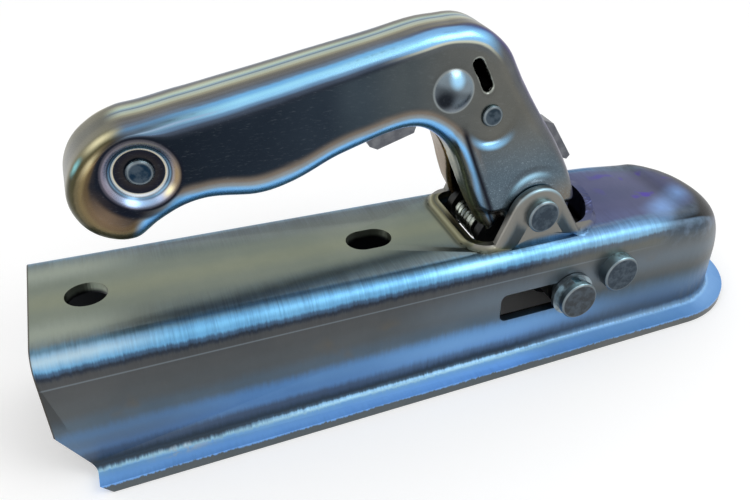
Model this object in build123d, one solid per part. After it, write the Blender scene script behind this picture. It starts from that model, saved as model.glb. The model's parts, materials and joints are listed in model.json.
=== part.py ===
"""Pressed steel trailer coupler for a 50 mm ball and a 50 mm square drawbar.

Millimetres. The origin is the centre of the ball in its socket, +X points to the nose,
+Z is up, and the coupler is symmetrical about the plane Y = 0.
"""
import os
from math import asin, atan2, cos, degrees, hypot, radians, sin, sqrt

from build123d import *

# Ball, drawbar and housing sheet
BALL_R = 25.0            # the tow ball
BALL_PLAY = 0.25         # ball to socket, and drawbar to channel wall
SHEET = 4.0              # housing sheet
WALL_IN = BALL_R + BALL_PLAY
WALL_OUT = WALL_IN + SHEET
ROOF_IN = WALL_IN
ROOF_OUT = WALL_OUT
BEND_R = 7.0             # outside radius where roof meets side walls

# Housing in plan and in side view
REAR_X = -251.5
NOSE_ROOT_X = -1.5       # where the straight walls turn into the nose
NOSE_LENGTH = 31.9       # from the nose root to the tip of the nose
NOSE_DOME_R = 29.0       # the dome over the front of the ball
FLANGE_Z = -22.6         # underside of the foot flange
FLANGE_W = 8.6           # how far the flange stands out
FLANGE_ROOT_R = 2.5
REAR_CHAMFER_X = 9.2     # the slanted lower corner at the rear end
REAR_CHAMFER_Z = 21.2
REAR_FOOT_X = 3.4        # the corner's slant goes on this far through the flange

# Drawbar bolt holes in the roof
BOLT_HOLE_R = 6.5
BOLT_REAR_X = -234.7
BOLT_SPACING = 96.0
BOLT_SLOT_LENGTH = 17.3

# Top opening, its raised rim and the ears
OPEN_REAR_X = -103.4
OPEN_FRONT_X = -48.5
OPEN_HALF_W = 20.4
OPEN_REAR_R = 6.0
OPEN_FRONT_R = 14.0
RIM_WIDTH = 4.5
RIM_HEIGHT = 2.2
TONGUE_HEIGHT = 6.6      # the rim drawn up at the front of the opening
TONGUE_LENGTH = 12.0
TONGUE_CREST_R = 26.0    # the tongue's crest, seen from the front
PIVOT_X = -79.3
PIVOT_Z = 41.8
EAR_R = 12.0
EAR_BASE_REAR_X = -99.0
EAR_BASE_FRONT_X = -58.0
EAR_FACE = OPEN_HALF_W + SHEET
EAR_EDGE_R = 1.2
EAR_CAP_X = PIVOT_X - 1.0
EAR_CAP_Z = PIVOT_Z - 1.2
POCKET_DEPTH = 1.2       # the lens-shaped hollow at the foot of each ear
POCKET_RISE = 4.0
POCKET_FOOT = 0.6        # how far the hollow starts below the roof
POCKET_REAR_X = EAR_BASE_REAR_X + 8.0
POCKET_FRONT_X = EAR_BASE_FRONT_X - 3.0

# Cross pins
PIVOT_PIN_R = 5.5
PIVOT_HEAD_R = 6.5
PIVOT_HEAD_H = 2.6
SLIDE_X = -63.3
SLIDE_Z = 4.8
SLIDE_PIN_R = 6.0
SLIDE_TRAVEL = 26.0
WINDOW_PLAY = 0.3
WINDOW_CORNER_R = 3.0
FRONT_PIN_X = -42.3
FRONT_PIN_Z = 11.1
FRONT_PIN_R = 6.0
FRONT_HEAD_R = 8.0
FRONT_HEAD_H = 4.9
HEAD_CHAMFER = 0.6
RUNNING = 0.05           # radial play of a part that turns on its pin
SIDE_PLAY = 0.3          # play beside a part that moves between two others
PAST = 1.0               # how far a cutting form reaches past what it cuts
THROUGH = 40.0           # half length of a form that cuts right across the coupler
CLEAR = 10.0             # how far a limiting form stands off what it doesn't limit

# Hardware on the slide pin
WASHER_R = 9.3
WASHER_H = 1.6
COLLAR_R = 8.1
COLLAR_H = 2.6
COLLAR_GAP = 3.2
END_DISC_H = 2.6
ROLLER_R = 9.0
SLEEVE_R = 8.0

# Lever shell
LEVER_SHEET = 2.5
LEVER_EDGE_R = 6.0
CORNER_STEP = 2.0        # the hollow keeps this much further off at its corners
CROWN_HALF_W = 12.0      # half width of the lever at CROWN_Z
CROWN_Z = 104.4
DRAFT = 0.08             # widening per millimetre below CROWN_Z
PANEL_FACE = OPEN_HALF_W - 0.4
GRIP_END_X = -212.6
GRIP_END_Z = 74.2
GRIP_END_R = 19.3
GRIP_FOOT_BACK = 6.0     # the round end starts this far behind its centre
CROWN_PEAK = (-110.5, 112.9)
BROW_FOOT = (-88.6, 97.0)
LEVER_SOLE_Z = 20.0
LEVER_BOSS_R = EAR_R - 0.4
CATCH_X = -98.3
CATCH_Z = 79.6
STEP_R = 9.0             # the round step under the catch rivet, on the cheek
STEP_FACE_R = 12.0       # the same step on the proud panel
PANEL_ROOT_Y = 12.0      # the panel's slopes start below the cheek
RAMP_TOP_Z = 84.0        # towards the front the panel grows out of the cheek from here down
RAMP_FOOT_Z = 46.0       # and reaches its full height here
PANEL_EDGE = [(-108.5, 74.5), (-99.3, 47.2), (-96.4, 44.6), (-57.0, 42.0), (-48.0, 60.0), (-70.0, 92.0),
              (-92.0, 76.0)]
PANEL_ROOT = [(-112.6, 77.0), (-101.6, 43.6), (-97.4, 40.4), (-55.0, 38.0), (-44.0, 60.0), (-68.0, 98.0),
              (-95.0, 83.0)]
SLIT_HALF_W = 5.2
NECK_SLIT_HALF_W = 0.8

# Grip recess and its rivet
RECESS_X = -212.4
RECESS_Z = 75.6
RECESS_R = 7.3
RECESS_MOUTH_R = 11.0
RECESS_DEPTH = 3.0
GRIP_PIN_R = 2.8
GRIP_HEAD_R = 3.9
GRIP_HEAD_H = 1.4
GRIP_SPACER_R = 5.5

# Dimple and viewing slot in the lever's cheeks
DIMPLE_X = -113.2
DIMPLE_Z = 89.8
DIMPLE_R = 7.2
DIMPLE_H = 2.6
SLOT_W = 3.6
SLOT_TOP = (-104.8, 99.8)
SLOT_FOOT = (-99.4, 88.1)

# Safety catch
CATCH_HALF_W = 4.5
CATCH_SHEET = 1.6
CATCH_PIN_R = 2.5
CATCH_HEAD_R = 3.8
CATCH_HEAD_H = 1.2

# Drive plates and lever spring inside the housing
PLATE_T = 4.0
PLATE_FACE = 14.0        # outer face of each plate; its hub reaches on to the lever
PLATE_HUB_R = 8.5
PLATE_PIVOT_R = 11.5
PLATE_FOOT_R = 10.5
PLATE_POST_R = 5.0
SLOT_PLAY = 0.55
POST_X = -95.0
POST_Z = 29.5
POST_R = 2.9
SPRING_WIRE = 2.0
SPRING_TURNS = 6
WIRE_SIDES = 8           # the springs' wire is drawn eight-sided

# Ball claw
CLAW_HALF_W = 12.0
CLAW_HUB_R = 11.0
CLAW_TIP_Z = -16.5
CLAW_THICKNESS = 9.0
HEEL_R = 3.0             # the rounded end of the heel that meets the roller
CLAW_WIRE = 1.6
CLAW_TURNS = 5


def ring(outer, inner, y0, y1, x, z):
    """A tube along Y between y0 and y1."""
    body = rod(outer, y0, y1, x, z)
    return body - rod(inner, y0 - 1, y1 + 1, x, z)


def rod(radius, y0, y1, x, z):
    """A round bar along Y between y0 and y1."""
    face = Plane.XZ * Pos(x, z) * Circle(radius)
    return extrude(Pos(0, y0, 0) * face, amount=y1 - y0, dir=(0, 1, 0))


def slab(face, y0, y1):
    """A face drawn in X and Z, as a plate between y0 and y1."""
    return extrude(Pos(0, y0, 0) * face, amount=y1 - y0, dir=(0, 1, 0))


def both_sides(face, y0, y1):
    """The same plate on the near and on the far side."""
    return slab(face, y0, y1) + slab(face, -y1, -y0)


def xz_polygon(points):
    """A face in the XZ plane through the points."""
    return Plane.XZ * make_face(Polyline(*points, close=True))


def plan_section(z, half_w, front):
    """One level of the housing: straight sides and an elliptical nose."""
    rear = REAR_X
    outline = [
        Line((NOSE_ROOT_X, -half_w), (rear, -half_w)),
        Line((rear, -half_w), (rear, half_w)),
        Line((rear, half_w), (NOSE_ROOT_X, half_w)),
        EllipticalCenterArc((NOSE_ROOT_X, 0), front, half_w, start_angle=270, arc_size=180),
    ]
    return Pos(0, 0, z) * make_face(outline)


def nose_level(inset, angle):
    """The plan section where the nose's dome stands at an angle above its shoulder."""
    bend = BEND_R - inset
    dome = NOSE_DOME_R - inset
    z = ROOF_OUT - inset - dome + dome * sin(radians(angle))
    over = max(0.0, z - (ROOF_OUT - inset - bend))
    half_w = WALL_OUT - inset - bend + sqrt(max(0.0, bend ** 2 - over ** 2))
    front = NOSE_LENGTH - inset - dome + dome * cos(radians(angle))
    return plan_section(z, half_w, front)


def channel(inset, foot_z):
    """The housing's outer form, or with an inset of one sheet its hollow."""
    dome = NOSE_DOME_R - inset
    shoulder = ROOF_OUT - inset - dome
    bend_angle = degrees(asin((dome - BEND_R + inset) / dome))
    walls = plan_section(foot_z, WALL_OUT - inset, NOSE_LENGTH - inset)
    walls = extrude(walls, amount=shoulder - foot_z)
    dome_part = loft([nose_level(inset, bend_angle * i / 5) for i in range(6)])
    bend_part = loft([nose_level(inset, bend_angle + (90 - bend_angle) * i / 8) for i in range(9)])
    return walls + dome_part + bend_part


def flare(inset, base_z, radius):
    """A curved flare at the foot of the walls, where the sheet turns into the flange."""
    sections = []
    for angle in (0, 18, 38, 62, 90):
        out = radius * (1 - sin(radians(angle)))
        z = base_z + radius * (1 - cos(radians(angle)))
        sections.append(plan_section(z, WALL_OUT - inset + out, NOSE_LENGTH - inset + out))
    return loft(sections, ruled=True)


def opening_outline():
    """The top opening in plan, wider at its front corners than at its rear ones."""
    length = OPEN_FRONT_X - OPEN_REAR_X
    middle = (OPEN_FRONT_X + OPEN_REAR_X) / 2
    outline = Pos(middle, 0) * Rectangle(length, 2 * OPEN_HALF_W)
    rear = outline.vertices().group_by(Axis.X)[0]
    outline = fillet(rear, OPEN_REAR_R)
    corners = outline.vertices().group_by(Axis.X)[-1]
    return fillet(corners, OPEN_FRONT_R)


def ear_outline():
    """One ear: a round cap on a wide foot that runs into the roof."""
    foot = ROOF_OUT - SHEET / 2
    cap = Pos(EAR_CAP_X, EAR_CAP_Z) * Circle(EAR_R)
    base = Line((EAR_BASE_REAR_X, foot), (EAR_BASE_FRONT_X, foot))
    hull = make_hull(cap.edges() + base.edges())
    return Plane.XZ * hull


def ears():
    """Both ears, with their long edges rounded."""
    ear = slab(ear_outline(), OPEN_HALF_W, EAR_FACE)
    low = ROOF_OUT - SHEET / 2 + PAST / 2
    rims = [e for e in ear.edges() if e.center().Z > low and abs((e % 0.5).Y) < 0.5]
    ear = fillet(rims, EAR_EDGE_R)
    return ear + mirror(ear, about=Plane.XZ)


def rim():
    """The rim swaged up round the opening, highest at its front."""
    outline = opening_outline()
    base_z = ROOF_OUT - PAST
    band = offset(outline, RIM_WIDTH, kind=Kind.ARC)
    low = Pos(0, 0, base_z) * extrude(band, amount=RIM_HEIGHT + PAST)
    low = chamfer(low.faces().sort_by(Axis.Z)[-1].edges(), RIM_HEIGHT * 0.8)
    limit = Pos(OPEN_FRONT_X, 0, ROOF_OUT) * Box(4 * THROUGH, 2 * EAR_FACE, THROUGH)
    lip = offset(outline, SHEET * 0.8, kind=Kind.ARC)
    tall = Pos(0, 0, base_z) * extrude(lip, amount=TONGUE_HEIGHT + PAST)
    crest_z = ROOF_OUT + TONGUE_HEIGHT - TONGUE_CREST_R
    crest = Pos(OPEN_FRONT_X, 0, crest_z) * Rotation(0, 90, 0) * Cylinder(TONGUE_CREST_R, THROUGH)
    front = Pos(OPEN_FRONT_X, 0, ROOF_OUT) * Box(2 * TONGUE_LENGTH, 2 * THROUGH, THROUGH)
    return (low & limit) + (tall & crest & front)


def window_outline():
    """The side window that the slide pin runs in."""
    half_h = SLIDE_PIN_R + WINDOW_PLAY
    rear = SLIDE_X - SLIDE_TRAVEL - half_h
    front = SLIDE_X + half_h
    shape = Pos((rear + front) / 2, SLIDE_Z) * RectangleRounded(front - rear, 2 * half_h, WINDOW_CORNER_R)
    return Plane.XZ * shape


def pocket_outline():
    """The lens-shaped hollow at the foot of an ear."""
    z = ROOF_OUT - POCKET_FOOT
    middle = (POCKET_REAR_X + POCKET_FRONT_X) / 2
    arc = ThreePointArc((POCKET_REAR_X, z), (middle, z + POCKET_RISE), (POCKET_FRONT_X, z))
    return Plane.XZ * make_face([arc, Line((POCKET_FRONT_X, z), (POCKET_REAR_X, z))])


def rear_corner():
    """What the slant takes off the lower rear corner of walls and flange."""
    foot_x = REAR_X + REAR_CHAMFER_X
    end_x = foot_x + REAR_FOOT_X
    behind, below = REAR_X - PAST, FLANGE_Z - PAST
    return xz_polygon([
        (behind, FLANGE_Z + REAR_CHAMFER_Z), (REAR_X, FLANGE_Z + REAR_CHAMFER_Z),
        (foot_x, FLANGE_Z + SHEET), (end_x, FLANGE_Z), (end_x, below), (behind, below),
    ])


def coupler_housing():
    """Channel, nose, foot flange, rim and ears, drawn from one sheet."""
    flange_top = FLANGE_Z + SHEET
    body = channel(0.0, flange_top - PAST)
    foot = plan_section(FLANGE_Z, WALL_OUT + FLANGE_W, NOSE_LENGTH + FLANGE_W)
    flange = extrude(foot, amount=SHEET)
    body = body + flange
    body = body + flare(0.0, flange_top, FLANGE_ROOT_R)
    body = body + rim()
    body = body + ears()
    body = body - channel(SHEET, FLANGE_Z - PAST) - flare(SHEET, FLANGE_Z, FLANGE_ROOT_R + SHEET)
    body = body - Pos(0, 0, ROOF_IN - PAST) * extrude(opening_outline(), amount=THROUGH)
    body = body - both_sides(pocket_outline(), EAR_FACE - POCKET_DEPTH, EAR_FACE + PAST)
    body = body - slab(window_outline(), -THROUGH, THROUGH)
    body = body - rod(PIVOT_PIN_R, -THROUGH, THROUGH, PIVOT_X, PIVOT_Z)
    body = body - rod(FRONT_PIN_R, -THROUGH, THROUGH, FRONT_PIN_X, FRONT_PIN_Z)
    body = body - Pos(BOLT_REAR_X, 0, ROOF_IN) * Cylinder(BOLT_HOLE_R, 4 * SHEET)
    slot = SlotOverall(BOLT_SLOT_LENGTH, 2 * BOLT_HOLE_R)
    body = body - Pos(BOLT_REAR_X + BOLT_SPACING, 0, ROOF_IN - PAST) * extrude(slot, amount=2 * SHEET)
    return body - slab(rear_corner(), -THROUGH, THROUGH)


def headed_pin(shank_r, head_r, head_h, seat, x, z):
    """A rivet across the coupler, headed alike on both sides."""
    shank = rod(shank_r, -seat - head_h / 2, seat + head_h / 2, x, z)
    head = rod(head_r, seat, seat + head_h, x, z)
    rim_edge = head.edges().sort_by(Axis.Y)[-1]
    head = chamfer(rim_edge, min(HEAD_CHAMFER, head_h / 3))
    return shank + head + mirror(head, about=Plane.XZ)


def pivot_rivet():
    """The rivet through both ears that the lever turns on."""
    return headed_pin(PIVOT_PIN_R, PIVOT_HEAD_R, PIVOT_HEAD_H, EAR_FACE, PIVOT_X, PIVOT_Z)


def front_rivet():
    """The rivet through both side walls that carries the claw."""
    return headed_pin(FRONT_PIN_R, FRONT_HEAD_R, FRONT_HEAD_H, WALL_OUT, FRONT_PIN_X, FRONT_PIN_Z)


def cheek_half_w(z):
    """Half width of the drafted lever at height z."""
    return CROWN_HALF_W + DRAFT * (CROWN_Z - z)


def lever_curves():
    """Side view of the lever in order: crown, brow, front, underside and the grip's round end."""
    drop = sqrt(GRIP_END_R ** 2 - GRIP_FOOT_BACK ** 2)
    end_top = (GRIP_END_X, GRIP_END_Z + GRIP_END_R)
    end_rear = (GRIP_END_X - GRIP_END_R, GRIP_END_Z)
    end_foot = (GRIP_END_X - GRIP_FOOT_BACK, GRIP_END_Z - drop)
    slope = (25.0, -42.0)
    crown = Spline(end_top, (-190.5, 96.0), (-160.0, 102.8), (-130.0, 110.2), CROWN_PEAK,
                   tangents=[(1, 0), (1, 0)])
    brow = Spline(CROWN_PEAK, (-98.6, 108.6), BROW_FOOT, tangents=[(1, 0), slope])
    front = Spline(BROW_FOOT, (-78.4, 80.0), (-66.4, 60.0), (-60.2, 44.0), (-59.8, LEVER_SOLE_Z),
                   tangents=[slope, (0, -1)])
    under = Spline((-91.4, LEVER_SOLE_Z), (-101.8, 45.6), (-108.8, 64.8), (-123.0, 77.8), (-144.3, 75.6),
                   (-166.0, 67.8), (-180.0, 64.6), (-194.0, 65.0), (-208.0, 59.0), end_foot,
                   tangents=[(-4.9, 12.0), (-drop, GRIP_FOOT_BACK)])
    tail = ThreePointArc(end_foot, end_rear, end_top)
    return [crown, brow, front, under, tail]


def inset_curve(curve, inset):
    """The curve moved to its right by the inset."""
    steps = max(6, round(curve.length / 8))
    points = []
    for i in range(steps + 1):
        along = curve % (i / steps)
        points.append(curve @ (i / steps) + Vector(along.Y, -along.X) * inset)
    return Spline(*points, tangents=[curve % 0, curve % 1])


def lever_outline(inset=0.0):
    """The lever's side view as a face, or with an inset the side view of its hollow."""
    curves = lever_curves()
    if inset:
        curves = [inset_curve(curve, inset) for curve in curves]
    sole = Line(curves[2] @ 1, curves[3] @ 0)
    return Plane.XZ * make_face([*curves[:3], sole, *curves[3:]])


def half_space(side):
    """What lies between the middle plane and a side, given as places in Y and Z from below."""
    face = make_face(Polyline((0, side[0][1]), *side, (0, side[-1][1]), close=True))
    return extrude(Pos(REAR_X, 0, 0) * (Plane.YZ * face), amount=-REAR_X)


def cheek_space(inset):
    """One half of the drafted space between the lever's cheeks, less an inset."""
    low, high = 0.0, CROWN_PEAK[1] + CLEAR
    return half_space([(cheek_half_w(low) - inset, low), (cheek_half_w(high) - inset, high)])


def ramp_space(inset):
    """The same space, widened from the ramp's top down until it reaches the panel's face."""
    low, high = 0.0, CROWN_PEAK[1] + CLEAR
    face_y = PANEL_FACE - inset
    ramp = [(face_y, RAMP_FOOT_Z), (cheek_half_w(RAMP_TOP_Z) - inset, RAMP_TOP_Z)]
    return half_space([(face_y, low), *ramp, (cheek_half_w(high) - inset, high)])


def lever_body(space):
    """Half of the lever's outer form in a space, with its long edges rounded."""
    body = slab(lever_outline(), 0, THROUGH) & space(0.0)
    rims = [e for e in body.edges() if e.geom_type != GeomType.LINE and e.center().Y > LEVER_EDGE_R]
    return fillet(rims, LEVER_EDGE_R)


def lever_hollow(space):
    """Half of the lever's hollow, stepped in its corners to follow the rounded edges."""
    tall = slab(lever_outline(LEVER_SHEET), 0, THROUGH) & space(LEVER_SHEET + CORNER_STEP)
    wide = slab(lever_outline(LEVER_SHEET + CORNER_STEP), 0, THROUGH) & space(LEVER_SHEET)
    return tall + wide


def panel_form(inset):
    """The proud lower panel with its slopes and the round step under the catch rivet."""
    thin = inset / 2
    levels = []
    for points, y in ((PANEL_ROOT, PANEL_ROOT_Y - inset), (PANEL_EDGE, PANEL_FACE - inset)):
        face = make_face(Polyline(*points, close=True))
        if inset:
            face = offset(face, -thin, kind=Kind.INTERSECTION)
        levels.append(Pos(0, y, 0) * (Plane.XZ * face))
    form = loft(levels, ruled=True)
    low, high = PANEL_ROOT_Y - inset, PANEL_FACE - inset
    cheek = cheek_half_w(CATCH_Z) - inset
    slope = (STEP_FACE_R - STEP_R) / (PANEL_FACE - cheek_half_w(CATCH_Z))
    start = Plane(origin=(CATCH_X, low - 1, CATCH_Z), z_dir=(0, 1, 0))
    steps = [STEP_R + thin - slope * (cheek - low + 1), STEP_R + thin + slope * (high + 1 - cheek)]
    step = start * loft([Circle(steps[0]), Pos(0, 0, high - low + 2) * Circle(steps[1])])
    limit = lever_hollow(ramp_space) if inset else lever_body(ramp_space)
    return (form - step) & limit


def lever_trim():
    """What is cut away below the lever: its cheeks end in a rear fang and a round boss."""
    below = xz_polygon([(-120, 5), (-96.3, 5), (-96.3, 31.6), (-90.8, 41.8), (-79.3, 30.0), (-68.0, 36.0),
                        (-50, 36.0), (-50, 5)])
    boss = rod(LEVER_BOSS_R, -THROUGH, THROUGH, PIVOT_X, PIVOT_Z)
    rear = xz_polygon([(-120, 5), (-120, 31.6), (-96.3, 31.6), (-96.3, 5)])
    return slab(below, -THROUGH, THROUGH) - boss + slab(rear, -THROUGH, THROUGH)


def catch_outline():
    """Side view of the catch: trigger, pivot and the tab through the lever's front."""
    return xz_polygon([
        (-141.0, 72.0), (-139.6, 69.4), (-136.8, 68.0), (-123.4, 72.4), (-120.6, 80.6), (-112.0, 82.0),
        (-104.0, 75.0), (-96.0, 73.0), (-82.0, 69.0), (-73.0, 58.5), (-57.4, 52.0), (-56.0, 53.6),
        (-65.6, 68.2), (-69.0, 69.6), (-78.2, 73.5), (-92.5, 86.0), (-101.0, 88.0), (-122.0, 90.0),
        (-130.0, 81.0), (-139.0, 79.0),
    ])


def grip_recess():
    """The round recess that takes the grip rivet's head."""
    floor = Plane(origin=(RECESS_X, cheek_half_w(RECESS_Z) - RECESS_DEPTH, RECESS_Z), z_dir=(0, 1, 0))
    return floor * loft([Circle(RECESS_R), Pos(0, 0, RECESS_DEPTH + 1) * Circle(RECESS_MOUTH_R + 1)])


def lever_half():
    """The half of the lever shell on the side of +Y."""
    shell = lever_body(cheek_space) + panel_form(0.0)
    shell = shell + rod(LEVER_BOSS_R, PANEL_FACE - 2 * LEVER_SHEET, PANEL_FACE, PIVOT_X, PIVOT_Z)
    dome_r = (DIMPLE_R ** 2 + DIMPLE_H ** 2) / (2 * DIMPLE_H)
    cheek = cheek_half_w(DIMPLE_Z)
    centre = Pos(DIMPLE_X, cheek + DIMPLE_H - dome_r, DIMPLE_Z)
    outside = rod(DIMPLE_R, cheek - LEVER_SHEET, THROUGH, DIMPLE_X, DIMPLE_Z)
    shell = shell + (centre * Sphere(dome_r) & outside)
    recess_back = cheek_half_w(RECESS_Z) - RECESS_DEPTH - LEVER_SHEET
    hollow = lever_hollow(cheek_space) - rod(RECESS_MOUTH_R, recess_back, THROUGH, RECESS_X, RECESS_Z)
    inside = rod(DIMPLE_R, cheek - 2 * LEVER_SHEET, THROUGH, DIMPLE_X, DIMPLE_Z)
    hollow = hollow + (centre * Sphere(dome_r - LEVER_SHEET) & inside)
    shell = shell - grip_recess() - hollow - panel_form(LEVER_SHEET)
    shell = shell - rod(LEVER_BOSS_R, LEVER_EDGE_R, PANEL_FACE - LEVER_SHEET, PIVOT_X, PIVOT_Z)
    shell = shell - lever_trim()
    shell = shell - rod(PIVOT_PIN_R + RUNNING, -PAST, THROUGH, PIVOT_X, PIVOT_Z)
    shell = shell - rod(CATCH_PIN_R, -PAST, THROUGH, CATCH_X, CATCH_Z)
    shell = shell - rod(CATCH_HEAD_R + SIDE_PLAY, cheek_half_w(CATCH_Z), THROUGH, CATCH_X, CATCH_Z)
    plate_room = Plane.XZ * offset(plate_outline(), SIDE_PLAY)
    shell = shell - slab(plate_room, PLATE_FACE - PLATE_T - SIDE_PLAY, PLATE_FACE + SIDE_PLAY)
    shell = shell - rod(GRIP_PIN_R, -PAST, THROUGH, RECESS_X, RECESS_Z)
    length = hypot(SLOT_FOOT[0] - SLOT_TOP[0], SLOT_FOOT[1] - SLOT_TOP[1])
    lean = degrees(atan2(SLOT_FOOT[1] - SLOT_TOP[1], SLOT_FOOT[0] - SLOT_TOP[0]))
    middle = ((SLOT_TOP[0] + SLOT_FOOT[0]) / 2, (SLOT_TOP[1] + SLOT_FOOT[1]) / 2)
    slot = Plane.XZ * Pos(*middle) * SlotOverall(length, SLOT_W, rotation=lean)
    shell = shell - slab(slot, -PAST, THROUGH)
    grip = xz_polygon([(-214, 40), (-214, 72), (-190, 78), (-160, 84), (-116, 88), (-116, 60), (-150, 50)])
    shell = shell - slab(grip, -PAST, SLIT_HALF_W)
    neck = xz_polygon([(-118, 84), (-100, 84), (-80, 20), (-110, 20)])
    shell = shell - slab(neck, -PAST, NECK_SLIT_HALF_W)
    vee = Plane.YZ * make_face(Polyline((-1, 28), (14.5, 28), (0.6, 58), (-1, 58), close=True))
    shell = shell - extrude(Pos(-115, 0, 0) * vee, amount=24)
    tab_slot = xz_polygon([(-80.5, 71), (-71, 84), (-50, 62), (-50, 46), (-66, 46)])
    return shell - slab(tab_slot, -PAST, CATCH_HALF_W + 2 * SIDE_PLAY)


def lever_shell():
    """The pressed lever: drafted cheeks, proud lower panels, recesses, dimples and slots."""
    half = lever_half()
    return half + mirror(half, about=Plane.XZ)


def grip_rivet():
    """The rivet in the grip's end, seated in the two recesses."""
    seat = cheek_half_w(RECESS_Z) - RECESS_DEPTH
    return headed_pin(GRIP_PIN_R, GRIP_HEAD_R, GRIP_HEAD_H, seat, RECESS_X, RECESS_Z)


def grip_spacer():
    """The tube that keeps the recess floors apart."""
    reach = cheek_half_w(RECESS_Z) - RECESS_DEPTH - LEVER_SHEET
    return ring(GRIP_SPACER_R, GRIP_PIN_R + RUNNING, -reach, reach, RECESS_X, RECESS_Z)


def catch_rivet():
    """The pivot of the catch, riveted in the lever's cheeks."""
    seat = cheek_half_w(CATCH_Z)
    return headed_pin(CATCH_PIN_R, CATCH_HEAD_R, CATCH_HEAD_H, seat, CATCH_X, CATCH_Z)


def catch_spacers():
    """Two sleeves that centre the catch on its rivet."""
    inner = CATCH_HALF_W + SIDE_PLAY
    outer = cheek_half_w(CATCH_Z + CATCH_HEAD_R) - LEVER_SHEET - 0.2
    one = ring(CATCH_HEAD_R, CATCH_PIN_R + RUNNING, inner, outer, CATCH_X, CATCH_Z)
    return one + ring(CATCH_HEAD_R, CATCH_PIN_R + RUNNING, -outer, -inner, CATCH_X, CATCH_Z)


def safety_catch():
    """The folded catch: two side plates joined by a web under the trigger and at the tab."""
    outline = catch_outline()
    plates = both_sides(outline, CATCH_HALF_W - CATCH_SHEET, CATCH_HALF_W)
    core = offset(outline, -CATCH_SHEET)
    webs = slab(outline, -CATCH_HALF_W, CATCH_HALF_W) - slab(core, -CATCH_HALF_W, CATCH_HALF_W)
    trigger = xz_polygon([(-145, 60), (-145, 76), (-121.5, 76), (-121.5, 60)])
    tab = xz_polygon([(-71.5, 40), (-71.5, 80), (-50, 80), (-50, 40)])
    webs = webs & (slab(trigger, -10, 10) + slab(tab, -10, 10))
    catch = plates + webs
    return catch - rod(CATCH_PIN_R + RUNNING, -10, 10, CATCH_X, CATCH_Z)


def plate_outline():
    """A drive plate's outline round the pivot, the slide pin and the spring post."""
    circles = [Pos(PIVOT_X, PIVOT_Z) * Circle(PLATE_PIVOT_R), Pos(SLIDE_X, SLIDE_Z) * Circle(PLATE_FOOT_R),
               Pos(POST_X, POST_Z) * Circle(PLATE_POST_R)]
    return make_hull([e for c in circles for e in c.edges()])


def drive_plate(side):
    """One plate from the lever's pivot down to the slide pin."""
    hull = Plane.XZ * plate_outline()
    inner = PLATE_FACE - PLATE_T
    plate = slab(hull, *sorted((side * inner, side * PLATE_FACE)))
    lever = PANEL_FACE - LEVER_SHEET
    plate = plate + rod(PLATE_HUB_R, *sorted((side * inner, side * lever)), PIVOT_X, PIVOT_Z)
    reach = hypot(SLIDE_X - PIVOT_X, SLIDE_Z - PIVOT_Z)
    drop = PIVOT_Z - SLIDE_Z
    lean = degrees(atan2(SLIDE_Z - PIVOT_Z, SLIDE_X - PIVOT_X))
    slot_r = SLIDE_PIN_R + SLOT_PLAY
    middle = (reach + drop) / 2
    at = (PIVOT_X + middle * cos(radians(lean)), PIVOT_Z + middle * sin(radians(lean)))
    slot = Plane.XZ * Pos(*at) * SlotOverall(reach - drop + 2 * slot_r, 2 * slot_r, rotation=lean)
    plate = plate - slab(slot, -30, 30)
    plate = plate - rod(PIVOT_PIN_R + RUNNING, -30, 30, PIVOT_X, PIVOT_Z)
    return plate - rod(POST_R, -30, 30, POST_X, POST_Z)


def pivot_sleeve():
    """The tube on the lever's pivot between the two drive plates."""
    reach = PLATE_FACE - PLATE_T
    return ring(PIVOT_PIN_R + 3.0, PIVOT_PIN_R + RUNNING, -reach, reach, PIVOT_X, PIVOT_Z)


def spring_post():
    """The pin that carries the lever spring between the drive plates."""
    return rod(POST_R, -PLATE_FACE, PLATE_FACE, POST_X, POST_Z)


def coil(x, z, mean_r, wire, turns, pitch, y0, legs):
    """A torsion spring round an axis along Y, with a straight leg at each end."""
    helix = Pos(x, y0, z) * Rotation(-90, 0, 0) * Helix(pitch, pitch * turns, mean_r)
    start = helix @ 0 - (helix % 0) * legs
    first = Line(start, helix @ 0)
    last = Line(helix @ 1, helix @ 1 + (helix % 1) * legs)
    section = Plane(origin=start, z_dir=helix % 0) * RegularPolygon(wire / 2, WIRE_SIDES)
    return sweep(section, path=Wire([first.edge(), helix.edge(), last.edge()]))


def lever_spring():
    """The spring that pulls the lever down, wound on its post."""
    pitch = SPRING_WIRE * 1.25
    mean_r = POST_R + 0.25 + SPRING_WIRE / 2
    return coil(POST_X, POST_Z, mean_r, SPRING_WIRE, SPRING_TURNS, pitch, -pitch * SPRING_TURNS / 2, 5.0)


def slide_pin():
    """The pin through both side windows, with a disc at each end."""
    seat = WALL_OUT + SIDE_PLAY + WASHER_H + COLLAR_H
    return headed_pin(SLIDE_PIN_R, COLLAR_R, END_DISC_H, seat, SLIDE_X, SLIDE_Z)


def slide_washers():
    """The two large washers that cover the windows' edges."""
    inner = WALL_OUT + SIDE_PLAY
    near = ring(WASHER_R, SLIDE_PIN_R + RUNNING, -inner - WASHER_H, -inner, SLIDE_X, SLIDE_Z)
    return near + ring(WASHER_R, SLIDE_PIN_R + RUNNING, inner, inner + WASHER_H, SLIDE_X, SLIDE_Z)


def slide_collars():
    """The two split collars between washer and end disc."""
    inner = WALL_OUT + SIDE_PLAY + WASHER_H
    near = ring(COLLAR_R - 0.3, SLIDE_PIN_R + RUNNING, -inner - COLLAR_H, -inner, SLIDE_X, SLIDE_Z)
    far = ring(COLLAR_R - 0.3, SLIDE_PIN_R + RUNNING, inner, inner + COLLAR_H, SLIDE_X, SLIDE_Z)
    split = Pos(SLIDE_X, 0, SLIDE_Z + COLLAR_R) * Box(COLLAR_GAP, 200, 2 * (COLLAR_R - 2.0))
    return near + far - split


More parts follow.
